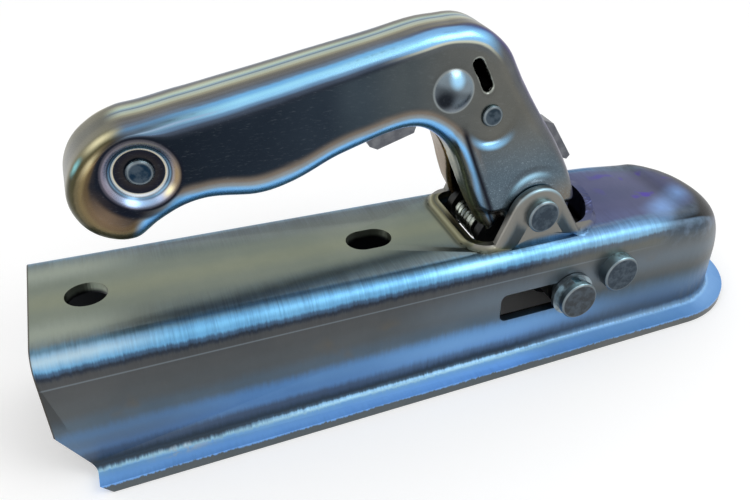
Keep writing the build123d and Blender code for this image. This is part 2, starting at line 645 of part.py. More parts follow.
def slide_sleeves():
    """The two sleeves that hold the drive plates off the side walls."""
    inner = PLATE_FACE + SIDE_PLAY
    outer = WALL_IN - SIDE_PLAY
    near = ring(SLEEVE_R, SLIDE_PIN_R + RUNNING, -outer, -inner, SLIDE_X, SLIDE_Z)
    return near + ring(SLEEVE_R, SLIDE_PIN_R + RUNNING, inner, outer, SLIDE_X, SLIDE_Z)


def thrust_roller():
    """The roller on the slide pin that holds the claw shut."""
    reach = PLATE_FACE - PLATE_T - SIDE_PLAY
    return ring(ROLLER_R, SLIDE_PIN_R + RUNNING, -reach, reach, SLIDE_X, SLIDE_Z)


def ball_claw():
    """The claw that grips under the ball, on the front pin, with its heel against the roller."""
    grip_r = WALL_IN + SIDE_PLAY
    tip_x = -sqrt(grip_r ** 2 - CLAW_TIP_Z ** 2)
    heel_r = hypot(SLIDE_X - FRONT_PIN_X, SLIDE_Z - FRONT_PIN_Z) - ROLLER_R - SIDE_PLAY
    heel_a = atan2(SLIDE_Z - FRONT_PIN_Z, SLIDE_X - FRONT_PIN_X)
    heel = (FRONT_PIN_X + (heel_r - HEEL_R) * cos(heel_a), FRONT_PIN_Z + (heel_r - HEEL_R) * sin(heel_a))
    hub = Pos(FRONT_PIN_X, FRONT_PIN_Z) * Circle(CLAW_HUB_R)
    toe = Pos(tip_x - CLAW_THICKNESS / 2 + 1.0, CLAW_TIP_Z + 3.0) * Circle(CLAW_THICKNESS / 2)
    arm = make_hull(hub.edges() + toe.edges())
    tip = Pos(*heel) * Circle(HEEL_R)
    root = Pos(FRONT_PIN_X, FRONT_PIN_Z - FRONT_PIN_R / 2) * Circle(FRONT_PIN_R)
    heel_face = make_hull(tip.edges() + root.edges())
    between = PLATE_FACE - PLATE_T - 2 * SIDE_PLAY
    claw = slab(Plane.XZ * arm, -CLAW_HALF_W, CLAW_HALF_W) + slab(Plane.XZ * heel_face, -between, between)
    claw = claw - Sphere(grip_r)
    return claw - rod(FRONT_PIN_R + RUNNING, -40, 40, FRONT_PIN_X, FRONT_PIN_Z)


def front_sleeves():
    """The two sleeves beside the claw on the front pin."""
    inner = CLAW_HALF_W + SIDE_PLAY
    near = ring(FRONT_HEAD_R, FRONT_PIN_R + RUNNING, -WALL_IN, -inner, FRONT_PIN_X, FRONT_PIN_Z)
    return near + ring(FRONT_HEAD_R, FRONT_PIN_R + RUNNING, inner, WALL_IN, FRONT_PIN_X, FRONT_PIN_Z)


def claw_spring():
    """The spring that swings the claw open, wound round the sleeve beside it."""
    pitch = CLAW_WIRE * 1.2
    mean_r = FRONT_HEAD_R + 0.4 + CLAW_WIRE / 2
    return coil(FRONT_PIN_X, FRONT_PIN_Z, mean_r, CLAW_WIRE, CLAW_TURNS, pitch, CLAW_HALF_W + 1.4, 6.0)


def pieces():
    """Every node of the coupler by name."""
    return {
        "coupler_housing": coupler_housing(),
        "pivot_rivet": pivot_rivet(),
        "front_rivet": front_rivet(),
        "front_sleeves": front_sleeves(),
        "slide_pin": slide_pin(),
        "slide_washers": slide_washers(),
        "slide_collars": slide_collars(),
        "slide_sleeves": slide_sleeves(),
        "thrust_roller": thrust_roller(),
        "lever_shell": lever_shell(),
        "grip_rivet": grip_rivet(),
        "grip_spacer": grip_spacer(),
        "catch_rivet": catch_rivet(),
        "catch_spacers": catch_spacers(),
        "drive_plate_left": drive_plate(1),
        "drive_plate_right": drive_plate(-1),
        "pivot_sleeve": pivot_sleeve(),
        "spring_post": spring_post(),
        "lever_spring": lever_spring(),
        "safety_catch": safety_catch(),
        "ball_claw": ball_claw(),
        "claw_spring": claw_spring(),
    }


os.makedirs("parts", exist_ok=True)
for name, solid in pieces().items():
    export_step(solid, f"parts/{name}.step")
    print(name, round(solid.volume, 1), solid.is_valid)
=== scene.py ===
"""Visual model of a pressed steel trailer coupler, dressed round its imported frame.

Metres throughout, and millimetres in the finishes and in the shaping of the sheets. The origin is
the centre of the tow ball, +X points to the nose and +Z is up.
"""
import json
import logging
import math
from dataclasses import dataclass, field
from enum import Enum

import bpy
import numpy as np
from mathutils import Matrix, Vector

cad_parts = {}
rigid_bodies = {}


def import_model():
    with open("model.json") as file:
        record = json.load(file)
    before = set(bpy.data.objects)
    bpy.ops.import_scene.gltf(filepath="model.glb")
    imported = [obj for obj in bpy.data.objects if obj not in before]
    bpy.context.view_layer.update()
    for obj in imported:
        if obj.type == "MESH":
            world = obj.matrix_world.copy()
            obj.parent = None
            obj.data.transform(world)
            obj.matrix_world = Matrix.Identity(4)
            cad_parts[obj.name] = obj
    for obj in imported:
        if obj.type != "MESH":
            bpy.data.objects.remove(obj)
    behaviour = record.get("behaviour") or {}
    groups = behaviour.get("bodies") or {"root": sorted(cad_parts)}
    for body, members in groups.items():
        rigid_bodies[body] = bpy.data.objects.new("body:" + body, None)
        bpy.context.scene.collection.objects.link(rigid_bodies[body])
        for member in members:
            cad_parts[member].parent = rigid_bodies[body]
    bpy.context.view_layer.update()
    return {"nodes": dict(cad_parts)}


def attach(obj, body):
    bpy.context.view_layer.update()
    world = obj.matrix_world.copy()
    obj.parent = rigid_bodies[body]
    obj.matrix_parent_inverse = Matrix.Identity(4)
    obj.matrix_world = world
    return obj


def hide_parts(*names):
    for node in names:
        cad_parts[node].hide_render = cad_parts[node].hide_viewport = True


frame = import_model()
LOG = logging.getLogger("coupler")
MM = 0.001
Socket = bpy.types.NodeSocket
Stops = tuple[tuple[float, str], ...]
Spot = tuple[float, float]


class Side(Enum):
    """Which long edge of the lever a point of its side view is nearest to."""

    CROWN = 1.0
    UNDERSIDE = 0.0


class Fall(Enum):
    """How a mask changes along a measure."""

    STEP = "from 0 at the first place to 1 at the second"
    BUMP = "1 at the first place, 0 from the second distance on, to both sides"
    PLAIN = "the measure is a mask itself"


@dataclass(frozen=True)
class Limit:
    """One soft limit of a patch: the measure it reads and how its mask changes along it."""

    measure: str
    fall: Fall
    first: float = 0.0
    second: float = 0.0


@dataclass(frozen=True)
class Patch:
    """A soft-edged patch of another tone, which lies where all its limits let it."""

    name: str
    tone: str
    share: float
    limits: tuple[Limit, ...]


@dataclass(frozen=True)
class ToneScale:
    """Tones that follow one another along a length in millimetres."""

    low: float
    high: float
    stops: Stops


def rise(measure: str, low: float, high: float) -> Limit:
    """Limit a patch by a smooth step from 0 at low to 1 at high."""
    return Limit(measure, Fall.STEP, low, high)


def hump(measure: str, centre: float, reach: float) -> Limit:
    """Limit a patch to a soft band of a given reach round a centre."""
    return Limit(measure, Fall.BUMP, centre, reach)


def plain(measure: str) -> Limit:
    """Limit a patch by a measure that is a mask itself."""
    return Limit(measure, Fall.PLAIN)


def linear(code: str) -> tuple[float, float, float, float]:
    """Turn a colour written as six hex digits into linear light.

    Args:
        code: Red, green and blue as two hex digits each.

    Returns:
        The colour as red, green, blue and a full alpha.
    """
    parts = [int(code[i:i + 2], 16) / 255 for i in (0, 2, 4)]
    light = [c / 12.92 if c <= 0.04045 else ((c + 0.055) / 1.055) ** 2.4 for c in parts]
    return (light[0], light[1], light[2], 1.0)


def deselect() -> None:
    """Leave nothing selected, so an operator acts only on what is chosen next."""
    for obj in bpy.context.view_layer.objects:
        obj.select_set(False)


def pick(obj: bpy.types.Object) -> None:
    """Select one object alone and make it the active one.

    Args:
        obj: The object that the next operator works on.
    """
    deselect()
    obj.select_set(True)
    bpy.context.view_layer.objects.active = obj


@dataclass
class NodeBench:
    """A small bench on which a material's or a group's nodes are laid out and wired."""

    tree: bpy.types.NodeTree

    def node(self, kind: str, **values: object) -> bpy.types.Node:
        """Add a node and fill its inputs.

        Args:
            kind: The node's type without the ShaderNode prefix.
            values: Attributes of the node, or inputs by name with spaces as underscores.

        Returns:
            The new node.
        """
        item = self.tree.nodes.new("ShaderNode" + kind)
        for key, value in values.items():
            if hasattr(item, key):
                setattr(item, key, value)
            else:
                self.feed(item.inputs[key.replace("_", " ")], value)
        return item

    def feed(self, socket: Socket, value: object) -> None:
        """Link a socket to an output, or set it to a plain value.

        Args:
            socket: The input socket.
            value: An output socket, a number or a sequence of numbers.
        """
        if isinstance(value, bpy.types.NodeSocket):
            self.tree.links.new(value, socket)
        else:
            socket.default_value = value

    def math(self, operation: str, *values: object) -> Socket:
        """Add a Math node.

        Args:
            operation: The name of the operation.
            values: Numbers or outputs for its inputs.

        Returns:
            The node's output.
        """
        item = self.tree.nodes.new("ShaderNodeMath")
        item.operation = operation
        for socket, value in zip(item.inputs, values):
            self.feed(socket, value)
        return item.outputs[0]

    def plus(self, first: object, second: object) -> Socket:
        """Add two values."""
        return self.math("ADD", first, second)

    def minus(self, first: object, second: object) -> Socket:
        """Take the second value from the first."""
        return self.math("SUBTRACT", first, second)

    def times(self, first: object, *others: object) -> Socket:
        """Multiply values.

        Args:
            first: A number or an output.
            others: More numbers or outputs.

        Returns:
            The product's output.
        """
        for other in others:
            first = self.math("MULTIPLY", first, other)
        return first

    def length(self, first: object, second: object) -> Socket:
        """Give the length of the long side over two sides at right angles."""
        return self.math("SQRT", self.plus(self.math("POWER", first, 2.0), self.math("POWER", second, 2.0)))

    def step(self, value: object, low: float, high: float) -> Socket:
        """Add a smooth step from 0 at low to 1 at high.

        Args:
            value: The output that is stepped.
            low: Where the step starts.
            high: Where the step ends; below low it turns the step round.

        Returns:
            The step's output.
        """
        item = self.tree.nodes.new("ShaderNodeMapRange")
        item.interpolation_type = "SMOOTHSTEP"
        flip = high < low
        for name, number in (("From Min", min(low, high)), ("From Max", max(low, high)),
                             ("To Min", 1.0 if flip else 0.0), ("To Max", 0.0 if flip else 1.0)):
            item.inputs[name].default_value = number
        self.feed(item.inputs["Value"], value)
        return item.outputs["Result"]

    def bump(self, value: object, centre: float, reach: float) -> Socket:
        """Add a mask that is 1 at a centre and falls smoothly to 0 on both sides.

        Args:
            value: The output that is read.
            centre: Where the mask is 1.
            reach: How far from there it is 0.

        Returns:
            The mask.
        """
        away = self.math("ABSOLUTE", self.minus(value, centre))
        return self.step(away, reach, 0.0)

    def mix(self, mask: object, first: object, second: object, blend: str = "MIX") -> Socket:
        """Mix two colours.

        Args:
            mask: How much of the second colour, 0 to 1.
            first: A colour, a hex code or an output.
            second: A colour, a hex code or an output.
            blend: The blend mode.

        Returns:
            The mixed colour.
        """
        item = self.tree.nodes.new("ShaderNodeMix")
        item.data_type = "RGBA"
        item.blend_type = blend
        item.clamp_factor = True
        self.feed(item.inputs[0], mask)
        for socket, value in ((item.inputs[6], first), (item.inputs[7], second)):
            self.feed(socket, linear(value) if isinstance(value, str) else value)
        return item.outputs[2]

    def ramp(self, value: object, scale: ToneScale) -> Socket:
        """Add a colour ramp over a length in millimetres.

        Args:
            value: The output that runs along the ramp.
            scale: The tones and the lengths at the ramp's ends.

        Returns:
            The ramp's colour.
        """
        span = scale.high - scale.low
        item = self.tree.nodes.new("ShaderNodeValToRGB")
        item.color_ramp.interpolation = "EASE"
        elements = item.color_ramp.elements
        while len(elements) < len(scale.stops):
            elements.new(0.5)
        for element, (at, code) in zip(elements, scale.stops):
            element.position = (at - scale.low) / span
            element.color = linear(code)
        self.feed(item.inputs[0], self.math("DIVIDE", self.minus(value, scale.low), span))
        return item.outputs[0]

    def noise(self, vector: object, scale: float, detail: float = 3.0, rough: float = 0.5) -> Socket:
        """Add a noise texture.

        Args:
            vector: The place that it reads.
            scale: Its scale.
            detail: How many finer layers it has.
            rough: How strong those layers are.

        Returns:
            Its value.
        """
        item = self.node("TexNoise", Scale=scale, Detail=detail, Roughness=rough)
        self.feed(item.inputs["Vector"], vector)
        return item.outputs[0]

    def stretch(self, vector: object, size: tuple[float, float, float]) -> Socket:
        """Scale a vector along its three axes.

        Args:
            vector: The vector.
            size: The scale along X, Y and Z.

        Returns:
            The scaled vector.
        """
        item = self.tree.nodes.new("ShaderNodeVectorMath")
        item.operation = "MULTIPLY"
        self.feed(item.inputs[0], vector)
        item.inputs[1].default_value = size
        return item.outputs[0]

    def place_mm(self) -> tuple[Socket, ...]:
        """Give the point's own place in millimetres.

        Returns:
            The place as a vector, and its X, Y and Z.
        """
        where = self.stretch(self.node("TexCoord").outputs["Object"], (1000.0, 1000.0, 1000.0))
        split = self.node("SeparateXYZ")
        self.feed(split.inputs[0], where)
        return (where, *split.outputs)


class SharedGroups:
    """Shader node groups that more than one finish uses."""

    def __init__(self) -> None:
        """Build the groups once."""
        self.grain = self._grain()
        self.rubbing = self._rubbing()
        self.clouds = self._clouds()

    @staticmethod
    def _open(name: str, inputs: tuple[tuple[str, str, object], ...], outputs: tuple[tuple[str, str], ...]
              ) -> tuple[bpy.types.NodeTree, NodeBench, bpy.types.Node, bpy.types.Node]:
        """Start a group with its sockets.

        Args:
            name: The group's name.
            inputs: Name, socket type and default value of each input.
            outputs: Name and socket type of each output.

        Returns:
            The group, a bench for it, and its input and output nodes.
        """
        tree = bpy.data.node_groups.new(name, "ShaderNodeTree")
        for title, kind, value in inputs:
            socket = tree.interface.new_socket(title, in_out="INPUT", socket_type=kind)
            if value is not None:
                socket.default_value = value
        for title, kind in outputs:
            tree.interface.new_socket(title, in_out="OUTPUT", socket_type=kind)
        return tree, NodeBench(tree), tree.nodes.new("NodeGroupInput"), tree.nodes.new("NodeGroupOutput")

    def _grain(self) -> bpy.types.NodeTree:
        """Make the fine plating grain.

        Returns:
            A group with a height for the bump and a mask for the roughness.
        """
        tree, bench, start, end = self._open(
            "plating_grain", (("Place", "NodeSocketVector", None), ("Size", "NodeSocketFloat", 1.0)),
            (("Height", "NodeSocketFloat"), ("Mask", "NodeSocketFloat")))
        scaled = bench.node("VectorMath", operation="SCALE")
        bench.feed(scaled.inputs[0], start.outputs[0])
        bench.feed(scaled.inputs["Scale"], start.outputs[1])
        fine = bench.noise(scaled.outputs[0], 3.2, 4.0, 0.6)
        coarse = bench.noise(scaled.outputs[0], 0.35, 2.0)
        bench.feed(end.inputs[0], bench.plus(fine, bench.times(coarse, 0.6)))
        bench.feed(end.inputs[1], bench.step(fine, 0.35, 0.65))
        return tree

    def _rubbing(self) -> bpy.types.NodeTree:
        """Make the streaks that sheet gets from its die, across the drawing direction.

        Returns:
            A group with the streaks' mask.
        """
        tree, bench, start, end = self._open(
            "die_rubbing", (("Place", "NodeSocketVector", None),), (("Mask", "NodeSocketFloat"),))
        thin = bench.noise(bench.stretch(start.outputs[0], (1.6, 0.06, 0.06)), 1.0, 4.0, 0.7)
        broad = bench.noise(bench.stretch(start.outputs[0], (0.16, 0.03, 0.03)), 1.0, 2.0)
        both = bench.plus(bench.times(thin, 0.65), bench.times(broad, 0.35))
        bench.feed(end.inputs[0], bench.step(both, 0.36, 0.62))
        return tree

    def _clouds(self) -> bpy.types.NodeTree:
        """Make the slow cloudy changes of tone in the passivated plating.

        Returns:
            A group with the clouds' mask.
        """
        tree, bench, start, end = self._open(
            "plating_clouds", (("Place", "NodeSocketVector", None),), (("Mask", "NodeSocketFloat"),))
        value = bench.noise(start.outputs[0], 0.045, 4.0, 0.6)
        bench.feed(end.inputs[0], bench.step(value, 0.3, 0.7))
        return tree


@dataclass
class MaterialBench(NodeBench):
    """A bench for one metal, with its shader and its named measures at hand."""

    material: bpy.types.Material
    shader: bpy.types.Node
    at: dict[str, Socket] = field(default_factory=dict)

    @classmethod
    def start(cls, name: str) -> "MaterialBench":
        """Open a new metal material.

        Args:
            name: The material's name.

        Returns:
            A bench with a Principled shader wired to the output, and with the place, x, y and z
            in millimetres as its first measures.
        """
        material = bpy.data.materials.new(name)
        material.use_nodes = True
        tree = material.node_tree
        tree.nodes.clear()
        shader = tree.nodes.new("ShaderNodeBsdfPrincipled")
        output = tree.nodes.new("ShaderNodeOutputMaterial")
        tree.links.new(shader.outputs[0], output.inputs[0])
        shader.inputs["Metallic"].default_value = 1.0
        bench = cls(tree, material, shader)
        bench.at.update(zip(("place", "x", "y", "z"), bench.place_mm()))
        return bench

    def group(self, tree: bpy.types.NodeTree, *values: object) -> bpy.types.Node:
        """Place a shared group.

        Args:
            tree: The group.
            values: What its inputs get, in order.

        Returns:
            The group's node.
        """
        item = self.tree.nodes.new("ShaderNodeGroup")
        item.node_tree = tree
        for socket, value in zip(item.inputs, values):
            self.feed(socket, value)
        return item

    def measure_spot(self, name: str, centre: Spot) -> None:
        """Add two measures of the side view, NAME_reach and NAME_angle.

        Args:
            name: What stands at the centre.
            centre: Its X and Z. The angle is in degrees, 0 to the front and 90 upwards.
        """
        across = self.minus(self.at["x"], centre[0])
        up = self.minus(self.at["z"], centre[1])
        self.at[name + "_reach"] = self.length(across, up)
        self.at[name + "_angle"] = self.math("DEGREES", self.math("ARCTAN2", up, across))

    def mask(self, limits: tuple[Limit, ...], share: float = 1.0) -> Socket:
        """Multiply soft limits with one another.

        Args:
            limits: The limits.
            share: The mask's height where all limits are open.

        Returns:
            The mask.
        """
        parts = []
        for limit in limits:
            reading = self.at[limit.measure]
            if limit.fall is Fall.STEP:
                reading = self.step(reading, limit.first, limit.second)
            elif limit.fall is Fall.BUMP:
                reading = self.bump(reading, limit.first, limit.second)
            parts.append(reading)
        return self.times(*parts) if share == 1.0 else self.times(*parts, share)

    def lay(self, colour: Socket, patches: tuple[Patch, ...]) -> Socket:
        """Lay patches of tone over a colour, one after the other.

        Args:
            colour: The colour beneath.
            patches: The patches.

        Returns:
            The new colour.
        """
        for patch in patches:
            colour = self.mix(self.mask(patch.limits, patch.share), colour, patch.tone)
            colour.node.label = patch.name
        return colour

    def finish(self, colour: Socket, roughness: object, height: Socket, depth: float,
               metal: Socket | None = None) -> bpy.types.Material:
        """Wire colour, roughness and bump to the shader.

        Args:
            colour: The base colour.
            roughness: A number or an output.
            height: What gives the bump its height.
            depth: The bump's distance in metres.
            metal: How metallic the surface is where it isn't 1 all over.

        Returns:
            The finished material.
        """
        if metal is not None:
            self.feed(self.shader.inputs["Metallic"], metal)
        bump = self.node("Bump", Strength=1.0, Distance=depth)
        self.feed(bump.inputs["Height"], height)
        self.feed(self.shader.inputs["Base Color"], colour)
        self.feed(self.shader.inputs["Roughness"], roughness)
        self.feed(self.shader.inputs["Normal"], bump.outputs[0])
        return self.material


@dataclass(frozen=True)
class HousingFinish:
    """Zinc on the housing: tones across the section from the foot flange up to the roof, which paint the reflections
    and highlights that run along its bends.

    The section is read as height less distance from the middle plane, in millimetres, so it runs
    without a break over flange, wall, bend and roof.
    """

    # The body and nose tones are painted reflections: pale blue painted highlights on the flange top and along the
    # upper bend, painted shade in the darker bands below them.
    body: ToneScale = ToneScale(-62.0, 30.0, (
        (-60.5, "545C60"), (-57.4, "50585C"), (-56.6, "70A8E8"), (-53.0, "84BEFC"), (-50.8, "8CC4F8"),
        (-49.4, "B0E0F8"), (-48.0, "88B8DC"), (-47.0, "3A5468"), (-45.6, "28343E"), (-42.0, "3E5068"),
        (-38.5, "5680B0"), (-34.0, "5E88B6"), (-28.5, "5A6874"), (-22.0, "5A5E60"), (-14.0, "565859"),
        (-9.0, "505152"), (-7.0, "343A44"), (-5.4, "48607A"), (-3.6, "6EA8D2"), (-1.0, "78B4DC"),
        (1.5, "6EA4CC"), (4.5, "66869A"), (8.0, "687478"), (13.0, "6E7874"), (21.0, "7C8478"),
        (29.0, "848A78")))
    nose: ToneScale = ToneScale(-62.0, 30.0, (
        (-60.5, "5C6060"), (-57.4, "585C5C"), (-56.6, "68A0DC"), (-50.5, "7CB2EA"), (-48.9, "8CC0F0"),
        (-47.0, "6488A8"), (-44.0, "42505E"), (-38.0, "4A5868"), (-31.0, "505A60"), (-24.0, "58564F"),
        (-16.0, "62605A"), (-9.0, "6A6A64"), (-5.5, "606870"), (-3.6, "86AECC"), (-0.5, "8CC2EA"),
        (2.5, "7CA6D0"), (6.0, "6482A4"), (10.0, "585E84"), (18.0, "52567A"), (29.0, "4C5276")))
    nose_root: tuple[float, float] = (-95.0, -42.0)
    round_front: tuple[float, float] = (-1.5, 0.917)
    wander: float = 1.8
    raggedness: float = 2.6
    cloud_tone: str = "8A9298"
    cloud_share: float = 0.35
    streak_light: str = "C8D6DC"
    streak_dull: str = "6A7680"
    streak_dull_share: float = 0.7
    walls: tuple[Patch, ...] = (
        Patch("line left by the die", "8C98A0", 0.4, (hump("level", -11.2, 0.5), rise("x", -10.0, -60.0))),
        # Painted shade where the wall meets the flange, towards the rear.
        Patch("dark root of the flange", "08121C", 0.85,
              (hump("section", -47.6, 2.6), rise("x", -172.0, -205.0))),
        Patch("scuffed end of the flange", "C4D0D8", 0.7,
              (hump("x", -216.0, 14.0), hump("section", -50.2, 3.2), rise("scuffs", 0.42, 0.6))),
        # The low band on the wall is a painted reflection, greyer at the rear and bluer towards the front.
        Patch("grey rear of the low band", "586878", 0.75,
              (hump("section", -36.0, 9.0), rise("x", -185.0, -235.0))),
        Patch("blue front of the low band", "78A8D8", 0.75,
              (hump("section", -36.0, 9.0), rise("x", -170.0, -110.0), plain("front_hold"))),
        Patch("paler wall at the front", "6C7C8A", 0.55,
              (hump("section", -19.0, 12.0), rise("x", -150.0, -95.0))),
        Patch("lit roof edge at the rear", "9EA698", 0.7,
              (hump("section", 13.0, 9.0), rise("x", -205.0, -240.0))),
        Patch("stains", "6E5E42", 0.5, (rise("stains", 0.62, 0.78), hump("section", -25.0, 12.0))),
        # Painted highlights on the upper bend, beside the opening and at the rear.
        Patch("bright bend by the opening", "A0D4F0", 0.7,
              (hump("section", -0.5, 4.0), hump("x", -104.0, 26.0))),
        Patch("pale bend at the rear", "B4C8D0", 0.7,
              (hump("section", 0.0, 5.0), rise("x", -208.0, -240.0))),
        Patch("violet spots", "4632A0", 1.0,
              (rise("spots", 0.6, 0.72), rise("x", -40.0, -12.0), rise("section", 8.0, 14.0))),
    )
    front_hold: tuple[float, float] = (-30.0, -76.0)
    front_hold_least: float = 0.35
    # Where the painted highlight band on the bend ends towards the nose, a mottled tone covers it.
    band_end: tuple[Limit, ...] = (
        rise("x", -27.0, -9.0), rise("section", -16.0, -6.0), rise("section", 14.0, 4.0))
    band_end_share: float = 0.92
    mottle: tuple[str, str] = ("485460", "5E6E80")
    turn_start: Spot = (-20.0, -21.0)
    turn_way: tuple[float, float] = (0.866, 0.5)
    dome: tuple[Patch, ...] = (
        # Painted highlight that turns from the bend up over the nose's dome.
        Patch("light turn of the dome", "7CA4DC", 1.0,
              (rise("turn_along", -6.0, 8.0), rise("turn_along", 42.0, 26.0), hump("turn_aside", 0.0, 9.0),
               rise("z", 20.0, 24.0), plain("cloudy"))),
        Patch("dusky front", "464A70", 0.8, (rise("x", 8.0, 18.0), rise("section", -12.0, -2.0))),
        # Painted shade along a crease in the nose.
        Patch("crease", "2C3440", 0.8, (hump("x", 21.5, 1.3), hump("z", 13.0, 12.0))),
    )
    opening_middle_x: float = -75.95
    opening_half_length: float = 27.45
    opening_half_width: float = 20.4
    opening_corner: float = 8.0
    rim_where: tuple[Limit, ...] = (rise("z", 28.4, 29.2), rise("x", -86.0, -94.0))
    rim_reach: tuple[float, float] = (7.5, 3.5)
    rim_gold: str = "6E6C54"
    # Painted highlights and shade along the rim's creases: light lines at 0.5 and 3.6, dark lines at 2.2 and 5.2.
    rim_crease_light_and_shade: tuple[tuple[float, float, str], ...] = (
        (0.5, 0.8, "9A9A80"), (2.2, 0.9, "40463E"), (3.6, 0.7, "9A9A80"), (5.2, 1.2, "40463E"))
    rim_crease_share: float = 0.75
    ear_cap: Spot = (-80.3, 40.6)
    ear_edges: tuple[tuple[float, float], ...] = ((24.0, 1.1), (20.8, 0.9))
    ears: tuple[Patch, ...] = (
        Patch("ears", "7C7B76", 1.0, (rise("z", 29.6, 31.5), rise("off", 19.6, 20.2))),
        Patch("light on the ears' caps", "A4C8D8", 1.0,
              (hump("cap_reach", 11.9, 1.3), hump("cap_angle", 85.0, 75.0), plain("cap_edge"))),
        # Painted shade inside the channel.
        Patch("inside", "1E2022", 1.0, (rise("out", 26.4, 25.4), rise("z", 27.4, 25.6))),
        Patch("cut rear edge", "55504A", 1.0, (rise("x", -250.9, -251.4),)),
    )
    rubbed_band: tuple[float, float, float] = (3.0, 19.0, 0.45)
    roughness: float = 0.34
    roughness_grain: float = 0.08
    grain_height: float = 0.6
    streak_height: float = 0.3
    relief: float = 0.00003
    # How far the metal is lessened from the foot of the wall down over the flange.
    less_metal_foot: tuple[float, float, float] = (-30.0, -46.0, 0.7)

    def _measure(self, bench: MaterialBench) -> None:
        """Add the housing's measures.

        Args:
            bench: The material's bench.
        """
        at = bench.at
        place, x, y, z = (at[name] for name in ("place", "x", "y", "z"))
        at["off"] = bench.math("ABSOLUTE", y)
        root, squeeze = self.round_front
        ahead = bench.times(bench.math("MAXIMUM", bench.minus(x, root), 0.0), squeeze)
        at["out"] = bench.length(at["off"], ahead)
        at["level"] = bench.minus(z, at["out"])
        wander = bench.noise(bench.stretch(place, (0.03, 0.1, 0.1)), 1.0, 2.0)
        ragged = bench.noise(bench.stretch(place, (0.9, 0.12, 0.12)), 1.0, 3.0, 0.7)
        shift = bench.plus(bench.times(bench.minus(wander, 0.5), self.wander),
                           bench.times(bench.minus(ragged, 0.5), self.raggedness))
        at["section"] = bench.plus(at["level"], shift)
        at["scuffs"] = bench.noise(place, 0.4)
        at["stains"] = bench.noise(place, 0.06, 2.0)
        at["spots"] = bench.noise(place, 0.11, 1.0)
        held = bench.times(bench.step(x, *self.front_hold), 1.0 - self.front_hold_least)
        at["front_hold"] = bench.plus(self.front_hold_least, held)
        far_x, far_y = bench.minus(x, self.turn_start[0]), bench.minus(y, self.turn_start[1])
        way_x, way_y = self.turn_way
        at["turn_along"] = bench.plus(bench.times(far_x, way_x), bench.times(far_y, way_y))
        at["turn_aside"] = bench.minus(bench.times(far_y, way_x), bench.times(far_x, way_y))
        at["cloudy"] = bench.plus(0.45, bench.times(bench.noise(place, 0.2), 0.7))
        at["rim"] = self._from_rim(bench)
        bench.measure_spot("cap", self.ear_cap)
        at["cap_edge"] = bench.math("MAXIMUM", *(bench.bump(at["off"], *edge) for edge in self.ear_edges))

    def _from_rim(self, bench: MaterialBench) -> Socket:
        """Measure how far a point stands outside the top opening.

        Args:
            bench: The material's bench.

        Returns:
            The distance from the opening's edge in millimetres.
        """
        from_middle = bench.math("ABSOLUTE", bench.minus(bench.at["x"], self.opening_middle_x))
        along = bench.minus(from_middle, self.opening_half_length - self.opening_corner)
        across = bench.minus(bench.at["off"], self.opening_half_width - self.opening_corner)
        outside = bench.length(bench.math("MAXIMUM", along, 0.0), bench.math("MAXIMUM", across, 0.0))
        return bench.minus(outside, self.opening_corner)

    def _rub(self, bench: MaterialBench, colour: Socket, rubbed: Socket) -> Socket:
        """Lay the die's cross-grain streaks over the upper bend and the roof's edge.

        Args:
            bench: The material's bench.
            colour: The colour beneath.
            rubbed: The streaks' mask.

        Returns:
            The new colour.
        """
        centre, reach, share = self.rubbed_band
        where = bench.times(bench.bump(bench.at["section"], centre, reach), share)
        colour = bench.mix(bench.times(rubbed, where), colour, self.streak_light, "SOFT_LIGHT")
        dull = bench.times(bench.minus(1.0, rubbed), where, self.streak_dull_share)
        return bench.mix(dull, colour, self.streak_dull, "MULTIPLY")

    def _rim(self) -> tuple[Patch, ...]:
        """Give the raised rim's face and the painted highlights and shade along its creases.

        Returns:
            The patches.
        """
        face = Patch("rim", self.rim_gold, 1.0, (rise("rim", *self.rim_reach), *self.rim_where))
        lines = (Patch("drawn line", tone, self.rim_crease_share, (hump("rim", at, width), *self.rim_where))
                 for at, width, tone in self.rim_crease_light_and_shade)
        return (face, *lines)

    def build(self, groups: SharedGroups) -> bpy.types.Material:
        """Make the material.

        Args:
            groups: The shared node groups.

        Returns:
            The housing's material.
        """
        bench = MaterialBench.start("zinc_housing")
        self._measure(bench)
        place, section = bench.at["place"], bench.at["section"]
        colour = bench.mix(bench.step(bench.at["x"], *self.nose_root), bench.ramp(section, self.body),
                           bench.ramp(section, self.nose))
        clouds = bench.group(groups.clouds, place).outputs[0]
        colour = bench.mix(bench.times(clouds, self.cloud_share), colour, self.cloud_tone, "SOFT_LIGHT")
        rubbed = bench.group(groups.rubbing, place).outputs[0]
        colour = self._rub(bench, colour, rubbed)
        colour = bench.lay(colour, self.walls)
        mottled = bench.mix(bench.step(bench.noise(place, 0.25), 0.4, 0.65), *self.mottle)
        colour = bench.mix(bench.mask(self.band_end, self.band_end_share), colour, mottled)
        colour = bench.lay(colour, (*self.dome, *self._rim(), *self.ears))
        grain = bench.group(groups.grain, place, 1.0)
        height = bench.plus(bench.times(grain.outputs[0], self.grain_height), bench.times(rubbed, self.streak_height))
        rough = bench.plus(self.roughness, bench.times(grain.outputs[1], self.roughness_grain))
        upper, lower, loss = self.less_metal_foot
        metal = bench.minus(1.0, bench.times(bench.step(section, upper, lower), loss))
        return bench.finish(colour, rough, height, self.relief, metal)


